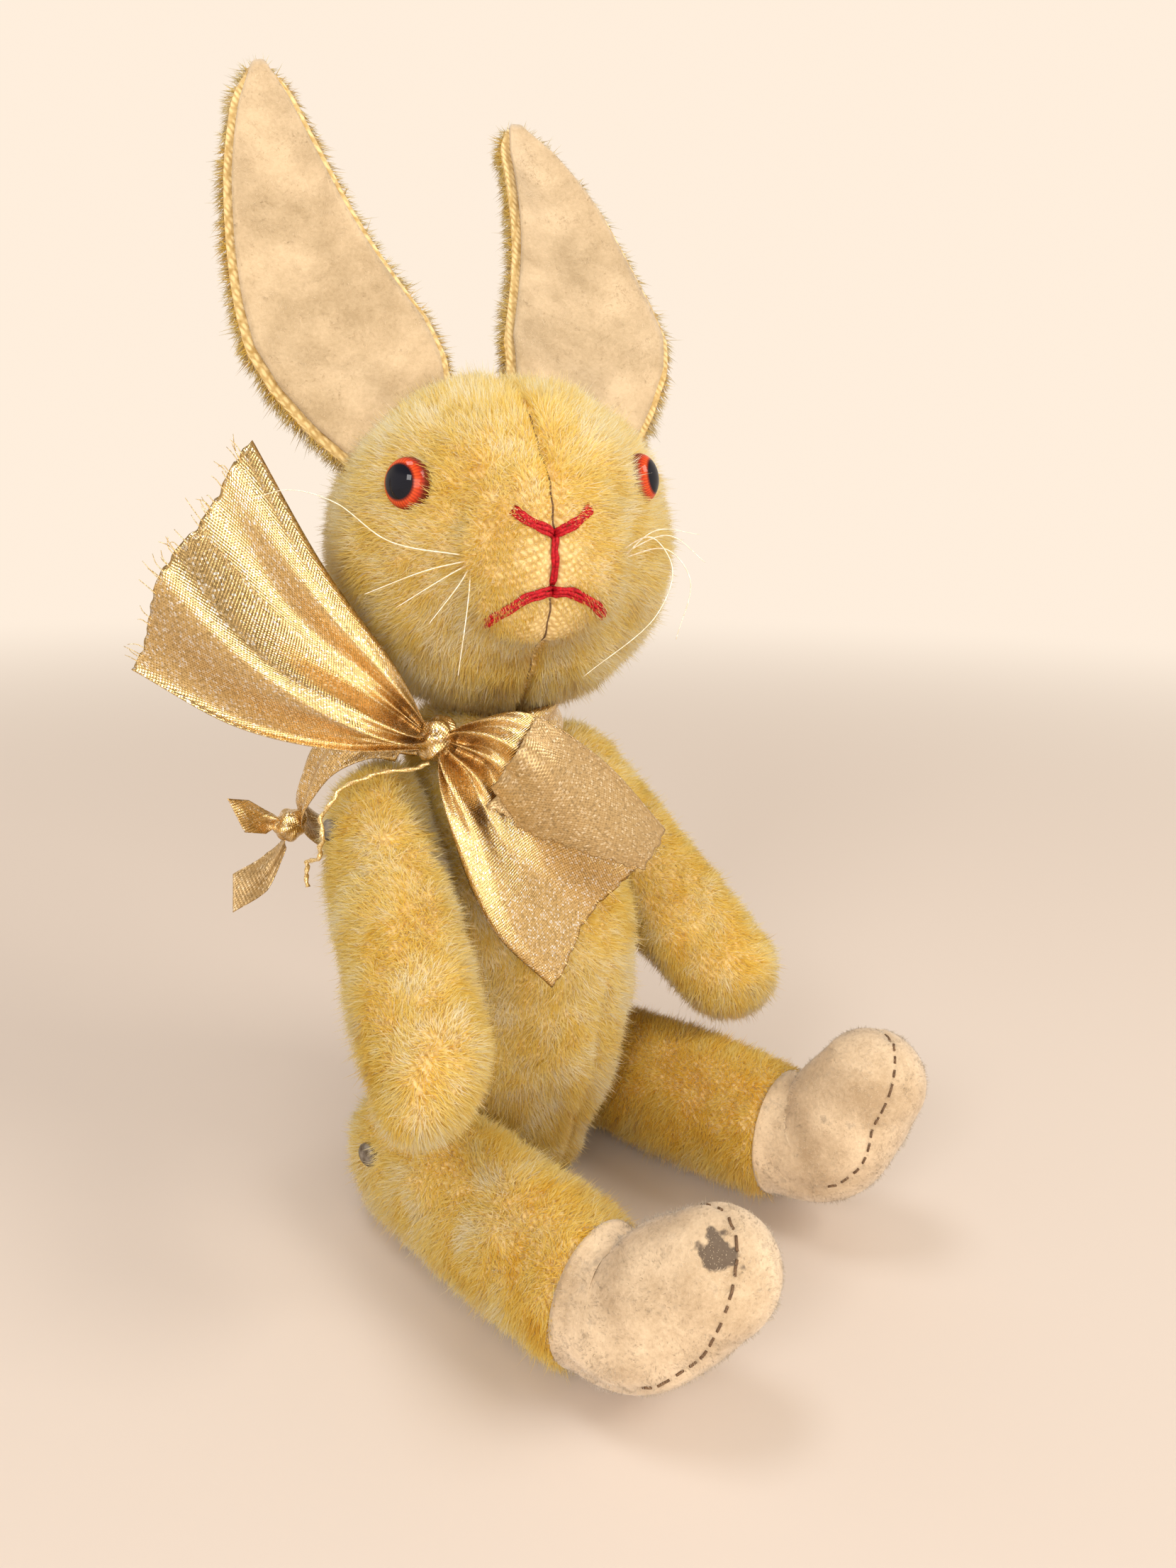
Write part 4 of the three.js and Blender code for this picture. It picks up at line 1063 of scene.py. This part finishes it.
EYE_RADIUS, EYE_DEPTH, EYE_OUT = 4.0, 2.7, 50
SHOWING = 0.82
for side_name, side in (("right", -1), ("left", 1)):
    bm = ball(48, 32, {"OFBake": lambda u, v: (0.04 + 0.92 * min(max(u, 0.0), 1.0), 0.01 + 0.98 * v)})
    bm.transform(Matrix.Diagonal((EYE_RADIUS * SHOWING, EYE_RADIUS * SHOWING, EYE_DEPTH * 0.90, 1.0)))
    bm.transform(Matrix.Rotation(math.radians(90), 4, "X"))
    bm.transform(Matrix.Rotation(side * math.radians(EYE_OUT), 4, "Z"))
    bm.transform(HEAD_PLACE @ Matrix.Translation((side * EYE_AT[0], EYE_AT[1], EYE_AT[2])))
    eye = put(f"{side_name}_eye", bm, "head", [eye_glass])
    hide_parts(f"{side_name}_glass_eye")

# ------------------------------------------------------------------ embroidered nose and mouth
# Red stranded cotton: a V for the nose with a line down from its point, and a down-turned mouth,
# each worked with a few strands laid side by side over the clipped pile.

red_cotton = mottled_material(
    "red_cotton",
    [(0.3, (0.22, 0.002, 0.008)), (0.55, (0.50, 0.006, 0.016)), (0.75, (0.66, 0.025, 0.035))],
    {"Roughness": 0.6, "Specular IOR Level": 0.25},
    scale=3600.0,
    detail=2.0,
)
STRAND_RADIUS, STRAND_SPREAD = 0.26, 0.37


def on_face(x, z, out=0.0):
    """The point of the face in front of (x, z), in the head's own millimetres."""
    start = HEAD_PLACE @ Vector((x, -60, z))
    way = (HEAD_PLACE.to_3x3() @ Vector((0, 1, 0))).normalized()
    hit, normal, _, _ = head_tree.ray_cast(start, way)
    return hit + normal * out * MM


def embroider(bm, route, seed, strands=3):
    """Strands that lie side by side along a route on the face, each a little loose."""
    rng = np.random.default_rng(seed)
    steps = max(12, int(sum(math.dist(a, b) for a, b in zip(route, route[1:])) * 2.2))
    line = line_points([(x, 0.0, z) for x, z in route], np.linspace(0, 1, steps))
    for k in range(strands):
        shift = (k - (strands - 1) / 2) * STRAND_SPREAD
        phase = rng.uniform(0, 6)
        points = []
        for i in range(steps):
            ahead = line[min(i + 1, steps - 1)] - line[max(i - 1, 0)]
            side = np.array((-ahead[2], 0, ahead[0])) / max(np.linalg.norm(ahead), 1e-9)
            sunk = -0.5 if i in (0, steps - 1) else 0.0
            wander = 0.07 * math.sin(i * 0.9 + phase)
            spot = line[i] + side * (shift + wander)
            points.append(on_face(spot[0], spot[2], 0.5 + 0.12 * (k == strands // 2) + sunk))
        run_tube(bm, points, lambda share: STRAND_RADIUS * MM, sides=8, lobes=0.16, twist=0.8)


bm = bmesh.new()
embroider(bm, [(-4.9, 0.5), (-2.7, -1.3), (-0.1, -2.5)], seed=1)
embroider(bm, [(0.1, -2.5), (2.7, -1.3), (4.9, 0.5)], seed=2)
embroider(bm, [(0, -2.7), (0, -5.0), (0, -8.2)], strands=2, seed=3)
nose = put("nose_embroidery", bm, "head", [red_cotton])
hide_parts("nose_stitches")
bm = bmesh.new()
embroider(bm, [(-7.9, -12.1), (-5.5, -10.7), (-2.8, -9.5), (0, -9.0)], seed=4)
embroider(bm, [(0, -9.0), (2.8, -9.5), (5.5, -10.7), (7.9, -12.1)], seed=5)
mouth = put("mouth_embroidery", bm, "head", [red_cotton])
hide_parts("mouth_stitches")
bm = bmesh.new()
for top, bottom in ((14.0, -1.9), (-9.9, -19.0)):
    heights = np.linspace(top, bottom, 24)
    points = [on_face(0.10 * math.sin(z * 2.1), z, 0.04) for z in heights]
    run_tube(bm, points, lambda share: 0.13 * MM, sides=6, lobes=0.2, twist=0.9)
put("face_seam", bm, "head", [sole_thread])

# ------------------------------------------------------------------ whiskers
# Stiff pale bristles sewn through each cheek in a bunch. They are springy and hold their bends, and
# each thins towards its tip.

bristle = mottled_material(
    "bristle",
    [(0.35, (0.80, 0.66, 0.45)), (0.65, (0.97, 0.93, 0.84))],
    {"Roughness": 0.35},
    scale=1500.0,
    detail=2.0,
)

WHISKERS = {
    "right": [
        [(-19.7, -20.6, -2.0), (-25.4, -19.4, 3.0), (-30.4, -17.6, 5.0), (-36.0, -13.0, 4.4)],
        [(-16.5, -23.0, -6.2), (-23.4, -21.5, -8.3)],
        [(-14.6, -24.0, -7.4), (-20.0, -22.4, -10.2)],
        [(-13.0, -24.6, -8.6), (-16.7, -24.2, -12.6)],
        [(-12.0, -25.0, -11.0), (-14.3, -26.4, -19.0)],
    ],
    "left": [
        [(11.8, -27.0, -4.0), (13.2, -28.9, -8.1), (10.0, -29.8, -13.9), (0.4, -28.8, -20.4)],
        [(14.6, -25.8, -3.6), (18.6, -27.0, -7.3)],
        [(13.6, -27.2, -5.6), (15.5, -28.8, -9.7), (12.6, -29.4, -16.8)],
        [(13.6, -24.2, -2.6), (19.4, -24.6, -3.4)],
    ],
}
for side_name, routes in WHISKERS.items():
    side = -1 if side_name == "right" else 1
    bm = bmesh.new()
    for k, route in enumerate(routes):
        spread = 0.45 * (k - (len(routes) - 1) / 2)
        root = HEAD_BACK @ on_face(side * (10.4 - 0.3 * abs(spread)), -5.2 - spread, -0.5)
        stops = [tuple(root), *route]
        points = [HEAD_PLACE @ Vector(p) for p in line_points(stops, np.linspace(0, 1, 10 * len(stops)))]
        run_tube(bm, points, lambda share: (0.10 - 0.06 * share) * MM, sides=5)
    tuft = put(f"{side_name}_bristles", bm, "head", [bristle])
    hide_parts(f"{side_name}_whiskers")

# ------------------------------------------------------------------ bow
# One length of wide gold ribbon, woven of flat metallic strips over a tan silk ground, knotted at
# the right of the throat. Its two cut ends fan out from the knot in gathered folds and are fraying.

RIBBON_WIDE = 36.0
STRIP_PITCH = 0.5


def metallic_weave_group():
    """Flat metal strips over a dull ground, on the map weave in millimetres: strips, chance and height."""
    group = bpy.data.node_groups.new("metallic_weave", "ShaderNodeTree")
    nodes, links = group.nodes, group.links
    for socket in ("Strips", "Chance", "Height"):
        group.interface.new_socket(socket, in_out="OUTPUT", socket_type="NodeSocketFloat")
    on_ribbon, across, _ = map_axes(nodes, links, "weave")
    turned, parts = nodes.new("ShaderNodeMapping"), nodes.new("ShaderNodeSeparateXYZ")
    turned.inputs["Rotation"].default_value = (0, 0, math.radians(28))
    turned.inputs["Scale"].default_value = (1 / STRIP_PITCH, 1 / STRIP_PITCH, 1)
    links.new(on_ribbon, turned.inputs["Vector"])
    links.new(turned.outputs["Vector"], parts.inputs["Vector"])
    waves = []
    for axis in "XY":
        phase = maths(nodes, links, "MULTIPLY", parts.outputs[axis], 2 * math.pi)
        waves.append(maths(nodes, links, "SINE", phase))
    lift = maths(nodes, links, "MULTIPLY_ADD", maths(nodes, links, "MULTIPLY", *waves), 0.5, 0.5)
    doubled, cell = nodes.new("ShaderNodeVectorMath"), nodes.new("ShaderNodeVectorMath")
    doubled.operation, cell.operation = "MULTIPLY", "FLOOR"
    doubled.inputs[1].default_value = (2, 2, 1)
    links.new(turned.outputs["Vector"], doubled.inputs[0])
    links.new(doubled.outputs["Vector"], cell.inputs[0])
    chance = nodes.new("ShaderNodeTexWhiteNoise")
    chance.noise_dimensions = "2D"
    links.new(cell.outputs["Vector"], chance.inputs["Vector"])
    off = maths(nodes, links, "ABSOLUTE", maths(nodes, links, "SUBTRACT", across, RIBBON_WIDE / 2))
    selvage = map_range(nodes, links, off, RIBBON_WIDE / 2 - 4.2, RIBBON_WIDE / 2 - 2.8)
    loose = maths(nodes, links, "MULTIPLY_ADD", selvage, 1.6, 0.12)
    result = nodes.new("NodeGroupOutput")
    strips = ramp(nodes, links, lift, [(0.10, (0, 0, 0)), (0.30, (1, 1, 1))])
    links.new(strips, result.inputs["Strips"])
    links.new(chance.outputs["Value"], result.inputs["Chance"])
    height = maths(nodes, links, "MULTIPLY_ADD", chance.outputs["Value"], loose, lift)
    links.new(height, result.inputs["Height"])
    return group


METALLIC_WEAVE = metallic_weave_group()


def woven_ribbon(name, gold, silver, ground, shine):
    """The metallic weave in one face's colours."""
    material, nodes, links, shader = new_material(name)
    weave = nodes.new("ShaderNodeGroup")
    weave.node_tree = METALLIC_WEAVE
    strips, chance, height = (weave.outputs[socket] for socket in ("Strips", "Chance", "Height"))
    glints = [(0.0, tuple(0.62 * c for c in gold)), (0.35, gold), (0.8, gold), (1.0, silver)]
    sparkle = ramp(nodes, links, chance, glints)
    links.new(mix_colours(nodes, links, strips, (*ground, 1.0), sparkle), shader.inputs["Base Color"])
    links.new(maths(nodes, links, "MULTIPLY", strips, shine), shader.inputs["Metallic"])
    links.new(map_range(nodes, links, chance, 0.0, 1.0, 0.18, 0.28), shader.inputs["Roughness"])
    raise_surface(nodes, links, shader, height, 0.35, 0.10)
    return material


gold_lame = woven_ribbon("gold_lame", (0.76, 0.53, 0.23), (0.97, 0.94, 0.88), (0.24, 0.14, 0.04), 1.0)
lame_back = woven_ribbon("lame_back", (0.50, 0.34, 0.15), (0.72, 0.58, 0.38), (0.28, 0.17, 0.06), 0.35)

KNOT = Vector((-17.0, -5.5, 71.6))
RIBBON_THIN = 0.14


def ribbon_sheet(place, cells_across, cells_along, width, length):
    """A piece of ribbon from a flat grid: place(across, along) is where each point goes."""
    bm = bmesh.new()
    bmesh.ops.create_grid(bm, x_segments=cells_across, y_segments=cells_along, size=0.5)
    weave = bm.loops.layers.uv.new("weave")
    bake = bm.loops.layers.uv.new("OFBake")
    for face in bm.faces:
        for loop in face.loops:
            across, along = loop.vert.co.x + 0.5, loop.vert.co.y + 0.5
            loop[weave].uv = (across * width, along * length)
            loop[bake].uv = (0.02 + 0.46 * across, 0.02 + 0.96 * along)
    for vert in bm.verts:
        vert.co = Vector(place(vert.co.x + 0.5, vert.co.y + 0.5)) * MM
    bmesh.ops.recalc_face_normals(bm, faces=bm.faces)
    front = list(bm.faces)
    bmesh.ops.solidify(bm, geom=front, thickness=RIBBON_THIN * MM)
    fronts = set(front)
    for face in bm.faces:
        if face not in fronts:
            face.material_index = 1
            for loop in face.loops:
                u, v = loop[bake].uv
                loop[bake].uv = (u + 0.5, v)
    return bm


def spot_on(line, share):
    """The point of a finely stepped line at a share of the way along it, and its onward direction."""
    last = len(line) - 1
    step = min(max(share, 0), 1) * last
    k = min(int(step), last - 1)
    part = step - k
    onward = line[min(k + 1, last)] - line[max(k - 1, 0)]
    return Vector(line[k] * (1 - part) + line[k + 1] * part), Vector(onward)


GATHERS, RAGGED = 5.4, 0.02


def fan(lower, upper, swell, cups, depth, seed):
    """A ribbon end between its two edges: broad cups along it, gathered finely at the knot."""
    rng = np.random.default_rng(seed)
    phases = rng.uniform(-0.5, 0.5, 4)
    steps = np.linspace(0, 1, 81)
    lows, highs = line_points(lower, steps), line_points(upper, steps)

    def place(across, along):
        end = along
        if along > 0.97:
            end = along + RAGGED * math.sin(across * 61 + seed) * math.sin(across * 23) * 0.4
        low, low_onward = spot_on(lows, end)
        high, high_onward = spot_on(highs, end)
        outward = (low_onward + high_onward).cross(high - low).normalized()
        turn = 2 * math.pi * across
        cup = math.sin(cups * turn + phases[0] + 0.9 * math.sin(along * 2.2 + phases[1])) * depth
        cup *= min(1.0, along * 5 + 0.15) * (1 - 0.45 * along**2)
        pleat = math.sin(GATHERS * turn + phases[2] + along * 2) * 1.8 * math.exp(-((along / 0.34) ** 2))
        pleat *= min(1.0, along * 9 + 0.2)
        bend = swell * math.sin(math.pi * across) * math.sqrt(along)
        rim = max(0.0, math.sin(math.pi * min(max(across, 0), 1))) ** 0.4
        return low.lerp(high, across) + outward * (bend + (cup + pleat) * rim)

    return place


def flap(place):
    """The corner that is folded back over the front of a ribbon end, from its upper edge."""

    def folded(across, along):
        wide, onward = 1 - across * (0.66 - 0.42 * along), 0.40 + 0.585 * along
        here = place(wide, onward)
        one, two = place(wide - 0.04, onward) - here, place(wide, onward - 0.04) - here
        lift = one.cross(two).normalized()
        if lift.dot(SEEN_FROM - here) < 0:
            lift = -lift
        rise = 0.45 + 1.3 * math.sin(math.pi * min(across, 1.0) * 0.62) + 0.3 * math.sin(along * 9)
        frayed = 0.35 * math.sin(along * 71) * math.sin(along * 29) if across > 0.96 else 0.0
        return here + lift * rise + one.normalized() * frayed

    return folded


WING_EDGES = {
    "right": dict(
        lower=[(-18.6, -4.4, 70.4), (-27.3, 1.1, 70.8), (-36.0, 11.0, 73.6), (-43.0, 23.9, 80.4)],
        upper=[(-18.0, -4.4, 73.4), (-21.8, -3.4, 81.2), (-27.0, 3.8, 93.6), (-30.2, 13.4, 109.2)],
        swell=-4.0,
        cups=1.6,
        depth=2.9,
        seed=5,
    ),
    "left": dict(
        lower=[(-18.4, -7.0, 70.0), (-20.4, -11.6, 60.4), (-19.4, -17.6, 49.0), (-13.0, -22.4, 40.0)],
        upper=[(-16.4, -7.4, 73.0), (-13.6, -17.2, 76.4), (-5.4, -23.0, 70.4), (5.4, -27.0, 58.6)],
        swell=-2.0,
        cups=1.4,
        depth=2.0,
        seed=9,
    ),
}
WING_LONG = {"right": 42.0, "left": 40.0}
FRAYED_ENDS = 34
for side_name, spec in WING_EDGES.items():
    length = WING_LONG[side_name]
    place = fan(**spec)
    bm = ribbon_sheet(place, 96, 84, RIBBON_WIDE, length)
    if side_name == "left":
        fold = ribbon_sheet(flap(place), 40, 60, 14.0, 24.0)
        for face in fold.faces:
            face.material_index = 1
        join_to(bm, fold)
    rng = np.random.default_rng(spec["seed"])
    for k in range(FRAYED_ENDS):
        turned_back = side_name == "left" and k > FRAYED_ENDS - 12
        edge = flap(place) if turned_back else place
        spot = float(rng.uniform(0.02, 0.98))
        if turned_back:
            start, behind = edge(1.0, spot), edge(0.9, spot)
        else:
            start, behind = edge(spot, 1.0), edge(spot, 0.9)
        onward = (start - behind).normalized()
        spill = Vector(rng.normal(0, 0.5, 3))
        tip = start + onward * rng.uniform(1.2, 2.6) + spill
        stops = [tuple(p) for p in (start - onward * 0.6, start + onward * 1.0 + spill * 0.2, tip)]
        points = [Vector(p) * MM for p in line_points(stops, np.linspace(0, 1, 6))]
        run_tube(bm, points, lambda share: (0.07 - 0.03 * share) * MM, sides=4, slot=2)
    wing = put(f"{side_name}_wing", bm, "torso", [gold_lame, lame_back, gold_yarn])
    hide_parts(f"{side_name}_bow_wing")


def wrapped_knot(name, centre, sizes, folds, seed, turn, node):
    """A knot of wound ribbon: a rounded lump whose folds run over it."""
    maps = {
        "weave": lambda u, v: (u * 18, v * 9),
        "OFBake": lambda u, v: (0.02 + 0.96 * min(max(u, 0), 1), 0.01 + 0.98 * v),
    }
    bm = ball(72, 40, maps)
    for vert in bm.verts:
        co = vert.co.copy()
        angle = math.atan2(co.x, co.z)
        groove = 0.09 * math.cos(folds * angle + 1.7 * math.sin(2.2 * co.y + seed))
        groove *= max(0.0, 1 - abs(co.y)) ** 0.3
        waist = 0.10 * math.exp(-((co.y / 0.28) ** 2))
        vert.co = co * (1 + groove - waist)
    bm.transform(Matrix.Diagonal((*[s * MM for s in sizes], 1.0)))
    bm.transform(Matrix.Rotation(turn, 4, "Y"))
    bm.transform(Matrix.Translation(Vector(centre) * MM))
    knot = put(name, bm, "torso", [gold_lame])
    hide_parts(node)


wrapped_knot("bow_knot_wrap", KNOT, (2.9, 2.5, 3.3), 7, 1.0, 0.5, "bow_knot")

# ------------------------------------------------------------------ neck ribbon
# A narrow ribbon of the same metallic weave goes round the neck under the bow, hangs loose behind
# the right shoulder, and is knotted there with two short cut tails.

NECK_ROUTE = [
    (-16.8, -1.6, 70.2),
    (-19.8, 6.0, 70.4),
    (-22.4, 13.4, 65.6),
    (-22.0, 17.8, 58.4),
    (-15.0, 20.4, 52.6),
    (-4.0, 21.4, 55.0),
    (6.4, 19.6, 62.0),
    (12.4, 12.6, 68.4),
    (12.8, 3.6, 71.2),
    (8.6, -4.6, 71.8),
    (0.4, -8.8, 71.4),
    (-7.6, -8.2, 70.6),
    (-13.6, -5.8, 70.2),
]
NECK_WIDE = 5.5
neck_line = line_points(NECK_ROUTE, np.linspace(0, 1, 241))


def neck_place(across, along):
    spot, onward = spot_on(neck_line, along)
    onward.normalize()
    out = spot - Vector((0, 5.3, 65.0))
    out.z *= 0.3
    upward = out.cross(onward).normalized()
    outward = onward.cross(upward).normalized()
    fold = 0.35 * math.sin(across * 9 + along * 31) + 0.25 * math.sin(along * 57)
    pinch = 0.55 if along < 0.03 or along > 0.97 else 1.0
    return spot + upward * (0.5 - across) * NECK_WIDE * pinch + outward * fold


bm = ribbon_sheet(neck_place, 12, 200, NECK_WIDE, 130.0)
neck_band = put("neck_band", bm, "torso", [gold_lame, lame_back])
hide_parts("neck_ribbon")
wrapped_knot("back_knot_wrap", (-23.6, 18.4, 56.6), (2.3, 2.1, 2.7), 5, 2.0, 1.1, "back_knot")

TAILS = {
    "upper_tail": ([(-25.2, 19.2, 57.4), (-28.0, 20.4, 58.2), (-31.0, 20.6, 59.0)], (-0.35, 0.2, 1.0)),
    "lower_tail": ([(-24.4, 18.8, 54.0), (-27.0, 20.4, 49.6), (-31.8, 21.4, 47.6)], (0.3, 0.35, 1.0)),
}
for name, (stops, across_way) in TAILS.items():
    line = line_points(stops, np.linspace(0, 1, 41))
    wide_way = Vector(across_way).normalized()

    def tail_place(across, along, line=line, wide_way=wide_way):
        spot, _ = spot_on(line, along)
        onward = Vector(line[-1] - line[0]).normalized()
        outward = onward.cross(wide_way).normalized()
        gather = 0.35 + 0.65 * min(1.0, along * 2.2)
        fold = 0.5 * math.sin(across * 8) * (1 - along) + 0.25 * math.sin(along * 7)
        return spot + wide_way * (across - 0.5) * NECK_WIDE * gather + outward * fold

    bm = ribbon_sheet(tail_place, 14, 24, NECK_WIDE, 8.0)
    end = put(f"{name}_ribbon", bm, "torso", [lame_back, gold_lame])
    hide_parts(name)

# ------------------------------------------------------------------ joint hardware
# Inside the cloth, cardboard discs turn against each other on wire rods. Only the flat heads of the
# rods show, as dull spots sunk in the pile outside each shoulder and hip.

dull_steel = mottled_material(
    "dull_steel",
    [(0.35, (0.12, 0.09, 0.06)), (0.7, (0.36, 0.33, 0.29))],
    {"Metallic": 0.9, "Roughness": 0.5},
    scale=900.0,
    detail=4.0,
)
card = mottled_material(
    "grey_card",
    [(0.3, (0.26, 0.19, 0.12)), (0.7, (0.46, 0.36, 0.24))],
    {"Roughness": 0.9},
    scale=1300.0,
    detail=5.0,
    rough=0.7,
    bump=(0.3, 0.1),
)

ROD_RADIUS, ROD_HEAD, ROD_HEAD_THICK = 0.9, 1.75, 0.9
RODS = {"arm_rod": (SHOULDER, 26.4), "leg_rod": (HIP, 25.9)}
for name, (at, reach) in RODS.items():
    bm = bmesh.new()
    route = [Vector((x, at.y, at.z)) * MM for x in (-reach, 0, reach)]
    run_tube(bm, route, lambda share: ROD_RADIUS * MM, sides=16)
    for side in (-1, 1):
        made = bmesh.ops.create_uvsphere(bm, u_segments=28, v_segments=16, radius=1.0)["verts"]
        for vert in made:
            x = side * (reach + 1.0) + ROD_HEAD_THICK * vert.co.z
            vert.co = Vector((x, at.y + ROD_HEAD * vert.co.x, at.z + ROD_HEAD * vert.co.y)) * MM
    bmesh.ops.recalc_face_normals(bm, faces=bm.faces)
    rod = put(f"{name}_wire", bm, "torso", [dull_steel])
    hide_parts(name)

for name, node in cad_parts.items():
    if node.hide_render:
        continue
    node.data.materials.clear()
    node.data.materials.append(card if "disc" in name else dull_steel)

# ------------------------------------------------------------------ floor and light
# A plain pale cream floor that far off turns into a painted glow of the room's warm colour, one large soft
# lamp to the right and above, and an even warm room.

floor_bm = bmesh.new()
bmesh.ops.create_grid(floor_bm, x_segments=1, y_segments=1, size=4.0)
floor_mesh = bpy.data.meshes.new("floor")
floor_bm.to_mesh(floor_mesh)
floor_bm.free()
floor = bpy.data.objects.new("floor", floor_mesh)
scene.collection.objects.link(floor)
WARM_WALL = (1.0, 0.86, 0.72)
paper_with_painted_glow, nodes, links, shader = new_material("paper_with_painted_glow")
where, away = nodes.new("ShaderNodeTexCoord"), nodes.new("ShaderNodeVectorMath")
away.operation = "LENGTH"
links.new(where.outputs["Object"], away.inputs[0])
beyond = map_range(nodes, links, away.outputs["Value"], 0.12, 0.85, kind="SMOOTHSTEP")
cream = ramp(nodes, links, beyond, [(0.0, (0.72, 0.64, 0.575)), (1.0, (0.0, 0.0, 0.0))])
links.new(cream, shader.inputs["Base Color"])
# Painted glow: with distance the floor's cream fades to black and it emits the room's warm colour instead, so
# that it melts into the background.
links.new(beyond, shader.inputs["Emission Strength"])
set_values(shader, {"Emission Color": (*WARM_WALL, 1.0), "Roughness": 1.0, "Specular IOR Level": 0.0})
floor_mesh.materials.append(paper_with_painted_glow)

world = bpy.data.worlds.new("room")
scene.world = world
world.use_nodes = True
nodes, links = world.node_tree.nodes, world.node_tree.links
where = nodes.new("ShaderNodeTexCoord")
height = nodes.new("ShaderNodeSeparateXYZ")
links.new(where.outputs["Generated"], height.inputs["Vector"])
walls = [(0.44, WARM_WALL), (0.62, (0.52, 0.45, 0.375)), (1.0, (0.36, 0.31, 0.26))]
links.new(ramp(nodes, links, height.outputs["Z"], walls), nodes["Background"].inputs["Color"])
nodes["Background"].inputs["Strength"].default_value = 1.0


def soft_lamp(name, at, towards, size, power, colour):
    lamp = bpy.data.lights.new(name, "AREA")
    lamp.size = size
    lamp.energy = power
    lamp.color = colour
    made = bpy.data.objects.new(name, lamp)
    scene.collection.objects.link(made)
    at = Vector(at)
    aimed = (Vector(towards) - at).to_track_quat("-Z", "Y").to_matrix().to_4x4()
    made.matrix_world = Matrix.Translation(at) @ aimed


soft_lamp("key", (0.20, -0.62, 0.62), (0, 0, 0.07), 0.34, 2.8, (1.0, 0.93, 0.84))
soft_lamp("left", (-0.62, -0.22, 0.42), (0, 0, 0.08), 0.22, 1.5, (1.0, 0.97, 0.94))
soft_lamp("above", (-0.10, 0.10, 0.75), (0, 0, 0.08), 0.24, 1.2, (0.96, 0.97, 1.0))
soft_lamp("front", (-0.34, -0.50, 0.16), (0, 0, 0.06), 0.36, 1.5, (1.0, 0.94, 0.86))
